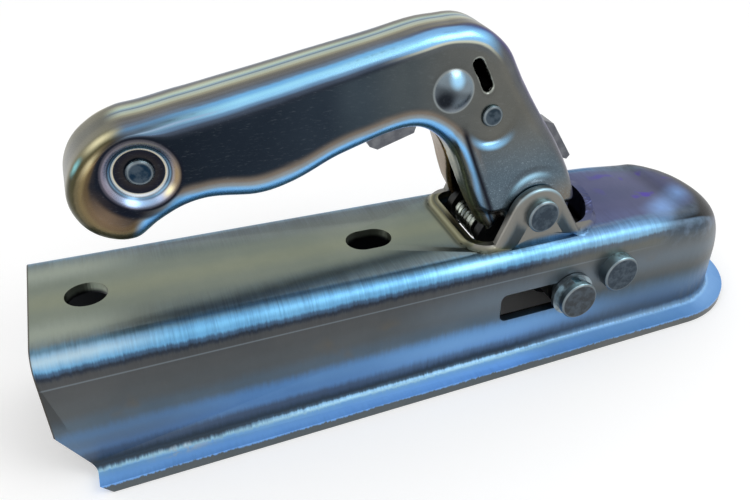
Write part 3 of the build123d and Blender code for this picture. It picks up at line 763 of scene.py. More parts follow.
@dataclass(frozen=True)
class LeverFinish:
    """Brighter zinc on the lever, with painted reflections, highlights and shade that follow its long bends."""

    # These tones across the crown, bends, head, sole, folds, grip end and cheeks are painted reflections: pale and
    # blue painted highlights along the bends, painted shade in the dark bands beside them and on the darker rear of
    # the cheeks.
    crown: ToneScale = ToneScale(-9.0, 7.0, (
        (-9.0, "5A5E64"), (-6.8, "52504E"), (-5.2, "45423C"), (-3.8, "5C5A4E"), (-2.4, "8A866E"),
        (-0.9, "AEB49C"), (0.6, "A6B4AC"), (1.5, "5E7686"), (2.3, "8CA6B0"), (3.4, "B4C6B4"),
        (5.2, "B0B49C"), (7.0, "9C9C84")))
    bend: ToneScale = ToneScale(-8.0, 24.0, (
        (-8.0, "5C5A56"), (-5.4, "585C62"), (-3.4, "6C7E92"), (-1.6, "7CB8E4"), (0.6, "A0DAF4"),
        (2.2, "96CCEC"), (3.6, "6E90B0"), (5.0, "4A5464"), (6.8, "2C323C"), (14.0, "262C35"),
        (24.0, "282F38")))
    head: ToneScale = ToneScale(-8.0, 24.0, (
        (-8.0, "50524E"), (-5.0, "6A675C"), (-3.6, "54586A"), (-1.8, "7CAEDC"), (1.5, "92CEF8"),
        (4.0, "8CC2EC"), (5.0, "C8CCBC"), (6.0, "5E6264"), (14.0, "5C5F5E"), (24.0, "5C5F5E")))
    front: ToneScale = ToneScale(-8.0, 24.0, (
        (-8.0, "3A3458"), (-4.0, "40365E"), (-1.0, "44406A"), (0.8, "585A66"), (3.0, "66686A"),
        (6.0, "6A6963"), (14.0, "666660")))
    lower: ToneScale = ToneScale(-12.0, 14.0, (
        (-12.0, "4E545C"), (-7.0, "44648C"), (-4.0, "5A98DC"), (-0.4, "72B4F0"), (3.3, "86C2F2"),
        (5.0, "8C9294"), (6.4, "786E64"), (8.4, "4A4644"), (10.8, "2E3238"), (14.0, "2A3038")))
    fold: ToneScale = ToneScale(-12.0, 14.0, (
        (-12.0, "5A6048"), (-5.0, "5C6450"), (-2.6, "666E5C"), (-1.2, "90967E"), (0.2, "6E6E64"),
        (3.0, "66645E"), (6.0, "54524E"), (14.0, "4A4A48")))
    tail: ToneScale = ToneScale(-12.0, 12.0, (
        (-12.0, "4A4A3A"), (-8.0, "625F49"), (-5.0, "6C684E"), (-2.6, "46442F"), (-0.4, "4E4A34"),
        (1.4, "6A6048"), (3.2, "786A4C"), (4.8, "5A4C38"), (6.4, "2A2A2E"), (8.0, "1A1F28"),
        (12.0, "1A1F28")))
    cheek: ToneScale = ToneScale(-235.0, -60.0, (
        (-235.0, "2A2A2E"), (-205.0, "1C232C"), (-180.0, "222A34"), (-158.0, "2A333D"), (-146.0, "38424A"),
        (-130.0, "484F52"), (-112.0, "5A5C5A"), (-95.0, "64645F"), (-60.0, "6A6862")))
    # Painted light and shade on the recess's rings: a dark annulus, pale and blue lit slopes, a dark outer edge.
    ring: ToneScale = ToneScale(3.0, 15.0, (
        (3.9, "121A26"), (4.6, "2C2A2C"), (6.4, "22222A"), (6.9, "1A2230"), (7.25, "CCC4B0"), (7.6, "AAB4B8"),
        (7.9, "34485C"), (8.3, "6A8AA2"), (8.7, "4A5462"), (9.1, "9A9AAA"), (10.0, "8C8694"),
        (10.6, "4E4C56"), (11.2, "1A1E28"), (14.5, "1A1E28")))
    head_from: tuple[float, float] = (-140.0, -118.0)
    front_from: tuple[float, float] = (-103.0, -94.0)
    crown_where: tuple[Limit, ...] = (rise("edge", -5.5, -8.5), rise("x", -96.0, -106.0))
    cheek_where: tuple[Limit, ...] = (rise("edge", 6.0, 8.5),)
    # The painted highlight band dims towards the grip; a painted glint lies above the recess.
    grip_top: tuple[Patch, ...] = (
        Patch("band fading on the grip", "4C4C5A", 0.9,
              (rise("x", -180.0, -214.0), hump("edge", 0.4, 5.5), rise("turned", 200.0, 180.0))),
        Patch("glint above the recess", "9EB6D0", 0.8,
              (hump("edge", 1.8, 0.8), rise("turned", 118.0, 108.0), rise("x", -184.0, -196.0))),
    )
    tail_where: tuple[Limit, ...] = (rise("turned", 92.0, 118.0), rise("turned", 268.0, 252.0))
    # Painted highlights and reflections round the grip's end, named by their tones.
    grip_lights: tuple[Patch, ...] = (
        Patch("copper", "947C64", 0.55, (hump("turned", 222.0, 44.0), hump("edge", 6.0, 4.6))),
        Patch("gold", "E0D8B0", 1.0, (hump("turned", 126.0, 34.0), hump("edge", -2.8, 2.8))),
        Patch("weak gold", "E0D8B0", 0.3, (hump("turned", 150.0, 24.0), hump("edge", 2.0, 2.0))),
        Patch("cyan", "8CCCD0", 0.9, (hump("turned", 162.0, 14.0), hump("edge", -2.8, 2.0))),
        Patch("cream", "C4C09A", 0.9, (hump("turned", 238.0, 12.0), hump("edge", -2.6, 2.2))),
        Patch("light on the grip's foot", "94BED8", 0.85, (hump("turned", 268.0, 22.0), hump("edge", -0.5, 2.4))),
        Patch("blue under the grip", "7CC0F4", 0.9, (hump("turned", 318.0, 24.0), hump("edge", 3.6, 3.2))),
    )
    recess_shade: tuple[Limit, ...] = (rise("recess_reach", 14.6, 12.8), hump("recess_angle", -115.0, 100.0))
    recess_edge: tuple[float, float] = (12.4, 11.2)
    # Painted highlights on the lower and right slopes of the recess, painted shade and reflections on its upper
    # slope.
    ring_lights: tuple[Patch, ...] = (
        Patch("low slope", "A4CCF4", 0.8, (hump("recess_reach", 9.5, 1.5), hump("recess_angle", -98.0, 62.0))),
        Patch("low lip", "E4ECF4", 0.9, (hump("recess_reach", 7.6, 0.7), hump("recess_angle", -95.0, 75.0))),
        Patch("gold slope", "A08A62", 0.9, (hump("recess_reach", 9.9, 1.5), hump("recess_angle", -10.0, 55.0))),
        Patch("gold glint", "D8D0A8", 0.9, (hump("recess_reach", 9.6, 1.1), hump("recess_angle", -42.0, 22.0))),
        Patch("dull top", "50504E", 0.8, (hump("recess_reach", 9.8, 1.6), hump("recess_angle", 80.0, 100.0))),
        Patch("teal top", "5E8490", 0.6, (hump("recess_reach", 8.2, 0.8), hump("recess_angle", 90.0, 80.0))),
        Patch("grey top", "7C7A6C", 0.5, (hump("recess_reach", 9.6, 0.8), hump("recess_angle", 75.0, 80.0))),
    )
    # Painted light and shade across the dimple: painted shade on one side, a painted highlight at its top.
    dome: ToneScale = ToneScale(-8.0, 8.0, (
        (-6.5, "7A828A"), (-3.5, "6A727A"), (-0.5, "5A6268"), (2.5, "78848C"), (6.4, "7E909C")))
    dome_lean: float = 0.35
    dome_lights: tuple[Patch, ...] = (
        Patch("dark side of the dimple", "22262C", 1.0, (rise("dome_dark_reach", 5.6, 1.5),)),
        Patch("light on the dimple", "A8D8F8", 1.0, (rise("dome_light_reach", 3.8, 0.8),)),
    )
    dome_where: tuple[Limit, ...] = (rise("dome_reach", 7.4, 6.8),)
    outlines: tuple[Patch, ...] = (
        Patch("the dimple's outline", "9AA2A4", 0.6, (hump("dome_reach", 7.3, 0.6),)),
        Patch("the slot's burr", "A8ACA4", 0.7, (hump("slot_reach", 2.1, 0.6),)),
    )
    panel: str = "56646E"
    panel_lights: tuple[Patch, ...] = (
        Patch("warm corner", "746E64", 1.0, (rise("z", 56.0, 44.0), rise("x", -84.0, -66.0))),
        # The panel's grain, with its glints painted in.
        Patch("sparkle", "98ACB8", 0.6, (rise("sparkle", 0.52, 0.76),)),
    )
    panel_where: tuple[Limit, ...] = (
        rise("proud", 0.3, 2.6), rise("x", -116.0, -112.0), rise("z", 90.0, 84.0))
    # Painted highlights on the step and the lip, painted shade above the lip and in the crease behind the panel.
    steps: tuple[Patch, ...] = (
        Patch("light step under the catch rivet", "98D0F8", 1.0,
              (hump("catch_reach", 10.8, 2.0), hump("catch_angle", -92.0, 62.0))),
        Patch("light lip round the pivot", "A4D0E8", 1.0,
              (hump("pivot_reach", 13.6, 1.7), hump("pivot_angle", 108.0, 52.0))),
        Patch("shade above that lip", "3C4044", 0.5,
              (hump("pivot_reach", 16.4, 1.6), hump("pivot_angle", 100.0, 60.0))),
        Patch("dark crease behind the panel", "1E2028", 1.0, (hump("rear", -108.6, 2.0), rise("z", 78.0, 73.0))),
    )
    crease_foot: float = 74.5
    crease_lean: float = 0.337
    folds: tuple[Patch, ...] = (
        Patch("light patches of the near fold", "A09C7E", 0.45,
              (rise("fold_patches", 0.45, 0.65), rise("edge", -2.0, -4.0))),
        Patch("far fold", "76603E", 1.0, (rise("y", -2.0, 0.5),)),
    )
    fold_where: tuple[Limit, ...] = (
        rise("x", -118.0, -110.0), rise("z", 79.0, 70.0), plain("below"), rise("edge", 3.5, 1.5))
    last: tuple[Patch, ...] = (
        Patch("violet edge of the head", "30246C", 0.8,
              (rise("x", -112.0, -100.0), hump("edge", -2.5, 2.0), plain("top"))),
    )
    # Painted shade inside the hollow sheet, lighter and browner on its far side.
    inside: str = "141618"
    far_inside: Patch = Patch("far inside", "4A4030", 1.0, (rise("y", 4.0, 8.0), rise("z", 84.0, 76.0)))
    scratches: tuple[Patch, ...] = (Patch("fine scratches", "C8D4DC", 0.04, (rise("scratches", 0.55, 0.75),)),)
    wander: float = 1.4
    cloud_tone: str = "868C92"
    cloud_share: float = 0.4
    grip_end: Spot = (-212.6, 74.2)
    recess: Spot = (-212.4, 75.6)
    dimple: Spot = (-113.2, 89.8)
    dimple_dark: Spot = (-116.8, 87.4)
    dimple_light: Spot = (-112.6, 94.0)
    catch: Spot = (-98.3, 79.6)
    pivot: Spot = (-79.3, 41.8)
    slot: Spot = (-102.1, 93.95)
    slot_way: tuple[float, float] = (0.42, -0.907)
    slot_half_length: float = 4.6
    half_width: float = 20.352
    draft: float = 0.08
    roughness: float = 0.24
    roughness_grain: float = 0.06
    grain_size: float = 1.3
    relief: float = 0.00001

    def _measure(self, bench: MaterialBench) -> None:
        """Add the lever's measures.

        Args:
            bench: The material's bench.
        """
        at = bench.at
        place, x, y, z = (at[name] for name in ("place", "x", "y", "z"))
        wander = bench.noise(bench.stretch(place, (0.03, 0.08, 0.08)), 1.0, 2.0)
        wander = bench.times(bench.minus(wander, 0.5), self.wander)
        at["edge"] = bench.plus(bench.node("Attribute", attribute_name="edge_span").outputs["Fac"], wander)
        at["top"] = bench.node("Attribute", attribute_name="edge_top").outputs["Fac"]
        at["below"] = bench.minus(1.0, at["top"])
        for name, centre in (("grip", self.grip_end), ("recess", self.recess), ("dome", self.dimple),
                             ("dome_dark", self.dimple_dark), ("dome_light", self.dimple_light),
                             ("catch", self.catch), ("pivot", self.pivot)):
            bench.measure_spot(name, centre)
        whole_turn = bench.times(bench.step(at["grip_angle"], 0.0, -0.01), 360.0)
        at["turned"] = bench.plus(at["grip_angle"], whole_turn)
        at["slot_reach"] = self._from_slot(bench)
        half = bench.minus(self.half_width, bench.times(z, self.draft))
        at["proud"] = bench.minus(bench.math("ABSOLUTE", y), half)
        at["rear"] = bench.plus(x, bench.times(bench.minus(z, self.crease_foot), self.crease_lean))
        at["sparkle"] = bench.noise(place, 2.2, 2.0, 0.7)
        at["fold_patches"] = bench.noise(place, 0.16, 2.0)
        at["scratches"] = bench.noise(bench.stretch(place, (0.5, 5.0, 2.0)), 1.0, 3.0, 0.7)

    def _from_slot(self, bench: MaterialBench) -> Socket:
        """Measure how far a point stands from the viewing slot's middle line.

        Args:
            bench: The material's bench.

        Returns:
            The distance in millimetres.
        """
        across = bench.minus(bench.at["x"], self.slot[0])
        up = bench.minus(bench.at["z"], self.slot[1])
        way_x, way_z = self.slot_way
        along = bench.plus(bench.times(across, way_x), bench.times(up, way_z))
        beside = bench.minus(bench.times(across, way_z), bench.times(up, way_x))
        past = bench.math("MAXIMUM", bench.minus(bench.math("ABSOLUTE", along), self.slot_half_length), 0.0)
        return bench.length(past, beside)

    def _edges(self, bench: MaterialBench) -> Socket:
        """Tone the crown, the long bends and the cheeks, with their painted highlights and shade.

        Args:
            bench: The material's bench.

        Returns:
            The colour.
        """
        x, edge = bench.at["x"], bench.at["edge"]
        along = bench.mix(bench.step(x, *self.head_from), bench.ramp(edge, self.bend), bench.ramp(edge, self.head))
        along = bench.mix(bench.step(x, *self.front_from), along, bench.ramp(edge, self.front))
        upper = bench.mix(bench.mask(self.crown_where), along, bench.ramp(bench.at["y"], self.crown))
        colour = bench.mix(bench.at["top"], bench.ramp(edge, self.lower), upper)
        return bench.mix(bench.mask(self.cheek_where), colour, bench.ramp(x, self.cheek))

    def _grip(self, bench: MaterialBench, colour: Socket) -> Socket:
        """Tone the grip's round end and the rings of its rivet's recess, with their painted highlights and shade.

        Args:
            bench: The material's bench.
            colour: The colour beneath.

        Returns:
            The new colour.
        """
        colour = bench.lay(colour, self.grip_top)
        colour = bench.mix(bench.mask(self.tail_where), colour, bench.ramp(bench.at["edge"], self.tail))
        colour = bench.lay(colour, self.grip_lights)
        reach = bench.at["recess_reach"]
        sunk = bench.math("MAXIMUM", bench.step(reach, *self.recess_edge), bench.mask(self.recess_shade))
        colour = bench.mix(sunk, colour, bench.ramp(reach, self.ring))
        return bench.lay(colour, self.ring_lights)

    def _head(self, bench: MaterialBench, colour: Socket) -> Socket:
        """Tone the dimple, the slot's burr, the proud panel with its step, and the neck's folds, with painted light
        and shade on the dimple, the step, the lip and the crease.

        Args:
            bench: The material's bench.
            colour: The colour beneath.

        Returns:
            The new colour.
        """
        x, z = bench.at["x"], bench.at["z"]
        side = bench.plus(bench.times(bench.minus(x, self.dimple[0]), self.dome_lean),
                          bench.minus(z, self.dimple[1]))
        ball = bench.lay(bench.ramp(side, self.dome), self.dome_lights)
        colour = bench.lay(bench.mix(bench.mask(self.dome_where), colour, ball), self.outlines)
        face = bench.lay(linear(self.panel), self.panel_lights)
        colour = bench.mix(bench.mask(self.panel_where), colour, face)
        colour = bench.lay(colour, self.steps)
        fold = bench.lay(bench.ramp(bench.at["edge"], self.fold), self.folds)
        return bench.mix(bench.mask(self.fold_where), colour, fold)

    def build(self, groups: SharedGroups) -> bpy.types.Material:
        """Make the material.

        Args:
            groups: The shared node groups.

        Returns:
            The lever's material.
        """
        bench = MaterialBench.start("zinc_lever")
        self._measure(bench)
        colour = self._head(bench, self._grip(bench, self._edges(bench)))
        clouds = bench.group(groups.clouds, bench.at["place"]).outputs[0]
        colour = bench.mix(bench.times(clouds, self.cloud_share), colour, self.cloud_tone, "SOFT_LIGHT")
        colour = bench.lay(colour, self.last)
        # The hollow inside of the sheet is painted dark as shade.
        hollow = bench.node("Attribute", attribute_name="hollow").outputs["Fac"]
        colour = bench.mix(hollow, colour, bench.lay(linear(self.inside), (self.far_inside,)))
        colour = bench.lay(colour, self.scratches)
        grain = bench.group(groups.grain, bench.at["place"], self.grain_size)
        rough = bench.plus(self.roughness, bench.times(grain.outputs[1], self.roughness_grain))
        return bench.finish(colour, rough, grain.outputs[0], self.relief)


@dataclass(frozen=True)
class PinFinish:
    """Finish of a headed pin: dull cut faces and a neck that catches the light from above."""

    name: str
    centre: Spot
    radius: float
    face_y: float
    face: str = "343E48"
    face_cloud: str = "56626C"
    burr: str = "9AA4A8"
    neck: str = "6A7880"
    light: str = "B4DCE8"
    roughness: float = 0.34
    roughness_grain: float = 0.1
    grain_size: float = 0.8
    relief: float = 0.00004

    def build(self, groups: SharedGroups) -> bpy.types.Material:
        """Make the material.

        Args:
            groups: The shared node groups.

        Returns:
            The pin's material.
        """
        bench = MaterialBench.start(self.name)
        bench.measure_spot("pin", self.centre)
        bench.at["clouds"] = bench.noise(bench.at["place"], 0.35, 4.0, 0.6)
        bench.at["off"] = bench.math("ABSOLUTE", bench.at["y"])
        face = bench.lay(linear(self.face), (
            Patch("clouds", self.face_cloud, 0.5, (rise("clouds", 0.4, 0.62),)),
            Patch("burr", self.burr, 0.5, (hump("pin_reach", self.radius - 0.4, 0.7),))))
        neck = bench.lay(linear(self.neck), (
            Patch("light from above", self.light, 1.0, (hump("pin_angle", 85.0, 55.0), rise("clouds", 0.3, 0.55))),))
        behind = bench.mask((rise("off", self.face_y - 0.3, self.face_y - 0.5),))
        grain = bench.group(groups.grain, bench.at["place"], self.grain_size)
        rough = bench.plus(self.roughness, bench.times(grain.outputs[1], self.roughness_grain))
        return bench.finish(bench.mix(behind, face, neck), rough, grain.outputs[0], self.relief)


@dataclass(frozen=True)
class SmallPartFinish:
    """Finish of a small part: two tones of plating, cloudy, with its own gloss."""

    name: str
    tone: str
    other: str
    roughness: float
    roughness_grain: float = 0.1
    relief: float = 0.00002

    def build(self, groups: SharedGroups) -> bpy.types.Material:
        """Make the material.

        Args:
            groups: The shared node groups.

        Returns:
            The small part's material.
        """
        bench = MaterialBench.start(self.name)
        place = bench.at["place"]
        clouds = bench.noise(place, 0.22, 4.0, 0.6)
        colour = bench.mix(bench.step(clouds, 0.36, 0.64), self.tone, self.other)
        grain = bench.group(groups.grain, place, 1.0)
        rough = bench.plus(self.roughness, bench.times(grain.outputs[1], self.roughness_grain))
        return bench.finish(colour, rough, grain.outputs[0], self.relief)


@dataclass
class Studio:
    """Camera, floor, backdrop and soft light."""

    eye: Vector = field(default_factory=lambda: Vector((-0.21852, -0.22610, 0.18320)))
    view: Vector = field(default_factory=lambda: Vector((0.40727, 0.72877, -0.55047)))
    up: Vector = field(default_factory=lambda: Vector((0.19302, 0.52043, 0.83180)))
    lens: float = 36.08
    shift: tuple[float, float] = (-0.1349, 0.0032)
    floor_size: float = 12.0
    floor_z: float = -0.0227
    floor_tone: float = 0.88
    floor_lift: float = 0.2
    shaded_middle_x: float = -112.0
    shaded_half: tuple[float, float] = (118.0, 16.0)
    soft_light: float = 0.82
    aim: Vector = field(default_factory=lambda: Vector((-0.10, 0.0, 0.03)))

    def camera(self) -> None:
        """Set the camera at the photograph's own place and angle."""
        data = bpy.data.cameras.new("camera")
        data.lens = self.lens
        data.sensor_width = 36.0
        data.shift_x, data.shift_y = self.shift
        data.clip_start = 0.01
        camera = bpy.data.objects.new("camera", data)
        bpy.context.scene.collection.objects.link(camera)
        view = self.view.normalized()
        right = view.cross(self.up).normalized()
        turn = Matrix((right, right.cross(view), -view)).transposed().to_4x4()
        camera.matrix_world = Matrix.Translation(self.eye) @ turn
        bpy.context.scene.camera = camera

    def floor(self) -> None:
        """Lay a plain pale floor, a little lifted in tone except under the coupler, where the lift is left off so
        that its shadow there is painted darker.
        """
        deselect()
        bpy.ops.mesh.primitive_plane_add(size=self.floor_size, location=(0.0, 0.0, self.floor_z))
        plane = bpy.context.active_object
        plane.name = "floor"
        material = bpy.data.materials.new("pale_floor")
        material.use_nodes = True
        shader = material.node_tree.nodes["Principled BSDF"]
        shader.inputs["Base Color"].default_value = (self.floor_tone, self.floor_tone, self.floor_tone, 1.0)
        shader.inputs["Roughness"].default_value = 0.9
        shader.inputs["Emission Color"].default_value = (1.0, 1.0, 1.0, 1.0)
        bench = NodeBench(material.node_tree)
        path = bench.node("LightPath")
        seen = bench.math("MAXIMUM", path.outputs["Is Camera Ray"], path.outputs["Is Glossy Ray"])
        _, x, y, _ = bench.place_mm()
        half_x, half_y = self.shaded_half
        # No lift within the coupler's footprint: a painted shadow under it.
        away_x = bench.minus(bench.math("ABSOLUTE", bench.minus(x, self.shaded_middle_x)), half_x)
        away_y = bench.minus(bench.math("ABSOLUTE", y), half_y)
        open_floor = bench.step(bench.math("MAXIMUM", away_x, away_y), -6.0, 10.0)
        bench.feed(shader.inputs["Emission Strength"], bench.times(seen, open_floor, self.floor_lift))
        plane.data.materials.append(material)

    def lamp(self, name: str, place: tuple[float, float, float], size: float, power: float,
             colour: tuple[float, float, float]) -> None:
        """Hang one soft square lamp that faces the coupler.

        Args:
            name: The lamp's name.
            place: Where it hangs.
            size: Its edge length.
            power: Its power in watts.
            colour: Its colour.
        """
        data = bpy.data.lights.new(name, "AREA")
        data.shape = "SQUARE"
        data.size = size
        data.energy = power
        data.color = colour
        lamp = bpy.data.objects.new(name, data)
        bpy.context.scene.collection.objects.link(lamp)
        turn = (self.aim - Vector(place)).to_track_quat("-Z", "Y").to_matrix().to_4x4()
        lamp.matrix_world = Matrix.Translation(place) @ turn

    def world(self) -> None:
        """Give the world a pale background and an even soft light."""
        world = bpy.data.worlds.new("studio")
        bpy.context.scene.world = world
        world.use_nodes = True
        bench = NodeBench(world.node_tree)
        world.node_tree.nodes.clear()
        path = bench.node("LightPath")
        seen = bench.math("MAXIMUM", path.outputs["Is Camera Ray"],
                          bench.math("MAXIMUM", path.outputs["Is Glossy Ray"], path.outputs["Is Transmission Ray"]))
        background = bench.node("Background", Color=(1.0, 1.0, 1.0, 1.0))
        bench.feed(background.inputs["Strength"],
                   bench.plus(self.soft_light, bench.times(seen, 1.0 - self.soft_light)))
        output = world.node_tree.nodes.new("ShaderNodeOutputWorld")
        bench.feed(output.inputs[0], background.outputs[0])

    def build(self) -> None:
        """Set up the whole studio."""
        self.camera()
        self.floor()
        self.lamp("key", (0.35, -0.62, 0.85), 0.5, 2.4, (0.97, 0.99, 1.0))
        self.lamp("fill", (-0.9, -0.5, 0.5), 0.7, 1.6, (1.0, 0.98, 0.95))
        self.world()


def merged_copy(node: str, name: str) -> bpy.types.Object:
    """Copy a CAD node's mesh into a new piece and close its seams.

    Args:
        node: The node's name.
        name: The piece's name.

    Returns:
        The copy, selected and active.
    """
    source = frame["nodes"][node]
    piece = source.copy()
    piece.data = source.data.copy()
    piece.name = name
    piece.parent = None
    for key in list(piece.keys()):
        del piece[key]
    bpy.context.scene.collection.objects.link(piece)
    pick(piece)
    bpy.ops.object.mode_set(mode="EDIT")
    bpy.ops.mesh.select_all(action="SELECT")
    bpy.ops.mesh.remove_doubles(threshold=0.00001)
    bpy.ops.object.mode_set(mode="OBJECT")
    return piece


def points_mm(obj: bpy.types.Object) -> np.ndarray:
    """Read a mesh's points.

    Args:
        obj: The mesh object.

    Returns:
        A row of X, Y and Z in millimetres for each point.
    """
    flat = np.zeros(len(obj.data.vertices) * 3)
    obj.data.vertices.foreach_get("co", flat)
    return flat.reshape(-1, 3) / MM


def move_points(obj: bpy.types.Object, place: np.ndarray) -> None:
    """Put a mesh's points to new places in millimetres."""
    obj.data.vertices.foreach_set("co", (place * MM).ravel())
    obj.data.update()


def eased(share: np.ndarray) -> np.ndarray:
    """Ease a share between 0 and 1 at both ends."""
    return share * share * (3.0 - 2.0 * share)


@dataclass
class Housing:
    """The pressed housing, with the nose's roof sinking softly towards its round front."""

    sinking: tuple[tuple[float, float], ...] = (
        (-36.0, 0.0), (-24.0, -0.6), (-12.0, -1.8), (-2.0, -2.8), (6.0, -2.0), (15.0, -0.4), (22.0, 0.0),
    )
    sinking_from: float = -40.0
    sinking_to: float = 27.0
    averaged: int = 7
    roof_from: float = 3.0
    roof_full: float = 25.0
    cuts: tuple[float, float, float] = (-38.0, 25.0, 4.0)
    crease_angle: float = 20.0

    def build(self, material: bpy.types.Material) -> bpy.types.Object:
        """Make the housing from its solid.

        Args:
            material: The housing's finish.

        Returns:
            The housing piece.
        """
        piece = merged_copy("coupler_housing", "coupler_body")
        bpy.ops.object.mode_set(mode="EDIT")
        for place in np.arange(*self.cuts):
            bpy.ops.mesh.select_all(action="SELECT")
            bpy.ops.mesh.bisect(plane_co=(place * MM, 0.0, 0.0), plane_no=(1.0, 0.0, 0.0))
        bpy.ops.object.mode_set(mode="OBJECT")
        points = points_mm(piece)
        along = np.arange(self.sinking_from, self.sinking_to, 1.0)
        amount = np.interp(along, *np.array(self.sinking).T)
        padded = np.pad(amount, self.averaged // 2, mode="edge")
        amount = np.convolve(padded, np.full(self.averaged, 1.0 / self.averaged), "valid")
        height = np.clip((points[:, 2] - self.roof_from) / (self.roof_full - self.roof_from), 0.0, 1.0)
        points[:, 2] += np.interp(points[:, 0], along, amount) * eased(height)
        move_points(piece, points)
        pick(piece)
        bpy.ops.object.shade_smooth_by_angle(angle=math.radians(self.crease_angle))
        piece.data.materials.clear()
        piece.data.materials.append(material)
        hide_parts("coupler_housing")
        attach(piece, "housing")
        return piece


@dataclass
class Lever:
    """The pressed lever, with its side outline drawn in and out to the photograph's."""

    crown_points: tuple[Spot, ...] = (
        (-212.6, 93.5), (-190.5, 96.0), (-160.0, 102.8), (-130.0, 110.2), (-110.5, 112.9), (-98.6, 108.6),
        (-88.6, 97.0), (-78.4, 80.0), (-66.4, 60.0), (-60.2, 44.0), (-59.8, 20.0),
    )
    under_points: tuple[Spot, ...] = (
        (-91.4, 20.0), (-101.8, 45.6), (-108.8, 64.8), (-123.0, 77.8), (-144.3, 75.6), (-166.0, 67.8),
        (-180.0, 64.6), (-194.0, 65.0), (-208.0, 59.0), (-218.6, 55.85),
    )
    grip_centre: Spot = (-212.6, 74.2)
    grip_radius: float = 19.3
    grip_turn: tuple[float, float, int] = (252.0, 90.0, 40)
    moves: tuple[tuple[float, float, float], ...] = (
        (-91.4, 20.0, 0.0), (-96.0, 32.0, 1.2), (-101.8, 45.6, 2.4), (-106.0, 57.5, 2.2),
        (-111.5, 70.0, 1.4), (-123.0, 77.8, 1.3), (-133.0, 77.6, 2.0), (-144.3, 75.6, 2.2),
        (-155.0, 71.8, 1.8), (-166.0, 67.8, 2.9), (-180.0, 64.6, 2.9), (-194.0, 65.0, 2.0),
        (-203.0, 61.6, 0.2), (-211.0, 57.2, -0.2), (-218.6, 55.85, 2.7), (-226.0, 60.5, 3.8),
        (-231.0, 68.0, 2.2), (-231.5, 78.0, -1.4), (-227.5, 86.5, -4.0), (-220.5, 91.8, -4.7),
        (-212.6, 93.5, -4.1), (-200.0, 94.6, -2.4), (-185.0, 97.0, -2.0), (-160.0, 102.8, -2.2),
        (-135.0, 109.0, -2.8), (-110.5, 112.9, -2.7), (-98.6, 108.6, -0.6), (-91.0, 100.5, 0.8),
        (-84.0, 90.0, 0.0),
    )
    cheek_depth: float = 18.0
    half_width: float = 20.352
    draft: float = 0.08
    recess_centre: Spot = (-212.4, 75.6)
    recess_reach: tuple[float, float] = (10.5, 16.5)
    recess_depth: float = 4.6
    recess_margin: float = 1.5
    hollow_from: float = 1.6
    hollow_fade: float = 0.6
    edge_fade: float = 3.0
    averaged: int = 11
    batch: int = 4000
    voxel: float = 0.8
    soften: tuple[float, int] = (0.5, 8)

    @staticmethod
    def _curve(points: tuple[Spot, ...], steps: int = 16) -> np.ndarray:
        """Run a smooth line through points.

        Args:
            points: The points in millimetres.
            steps: How many pieces each span is divided into.

        Returns:
            The line's points.
        """
        known = np.array(points)
        chord = np.linalg.norm(np.diff(known, axis=0), axis=1)
        slope = np.gradient(known, np.concatenate(([0.0], np.cumsum(chord))), axis=0)
        line = []
        for i, span in enumerate(chord):
            t = np.linspace(0.0, 1.0, steps, endpoint=False)[:, None]
            line.append((2 * t ** 3 - 3 * t ** 2 + 1) * known[i] + (t ** 3 - 2 * t ** 2 + t) * span * slope[i]
                        + (3 * t ** 2 - 2 * t ** 3) * known[i + 1] + (t ** 3 - t ** 2) * span * slope[i + 1])
        return np.vstack([*line, known[-1:]])

    @staticmethod
    def _nearest(places: np.ndarray, line: np.ndarray) -> np.ndarray:
        """Measure how far places are from a line.

        Args:
            places: The places in the side view.
            line: The line's points.

        Returns:
            Each place's distance in millimetres.
        """
        best = np.full(len(places), np.inf)
        for a, b in zip(line[:-1], line[1:]):
            along = b - a
            t = np.clip(((places - a) @ along) / max(along @ along, 1e-9), 0.0, 1.0)
            best = np.minimum(best, np.linalg.norm(places - (a + t[:, None] * along), axis=1))
        return best

    def _grip_round(self) -> np.ndarray:
        """Give the grip's round end in the side view, from below round to the crown.

        Returns:
            Its points.
        """
        start, stop, count = self.grip_turn
        angles = np.linspace(math.radians(start), math.radians(stop), count)
        return np.array(self.grip_centre) + self.grip_radius * np.stack((np.cos(angles), np.sin(angles)), 1)

    def _outline(self) -> np.ndarray:
        """Give the side outline from the sole's rear round to its front.

        Returns:
            A point at every millimetre of it.
        """
        line = np.vstack([self._curve(self.under_points), self._grip_round()[1:-1], self._curve(self.crown_points)])
        place = np.concatenate(([0.0], np.cumsum(np.linalg.norm(np.diff(line, axis=0), axis=1))))
        even = np.arange(0.0, place[-1], 1.0)
        return np.stack((np.interp(even, place, line[:, 0]), np.interp(even, place, line[:, 1])), 1)

    def _amounts(self, line: np.ndarray) -> np.ndarray:
        """Spread the moves over the whole outline.

        Args:
            line: The outline's points.

        Returns:
            How far each of them moves outwards.
        """
        moves = np.array(self.moves)
        stations = [float(np.argmin(np.linalg.norm(line - move[:2], axis=1))) for move in moves]
        amount = np.interp(np.arange(len(line)), stations, moves[:, 2])
        window = np.hanning(self.averaged + 2)
        padded = np.pad(amount, self.averaged // 2, mode="edge")
        return np.convolve(padded, window[1:-1] / window.sum(), "valid")

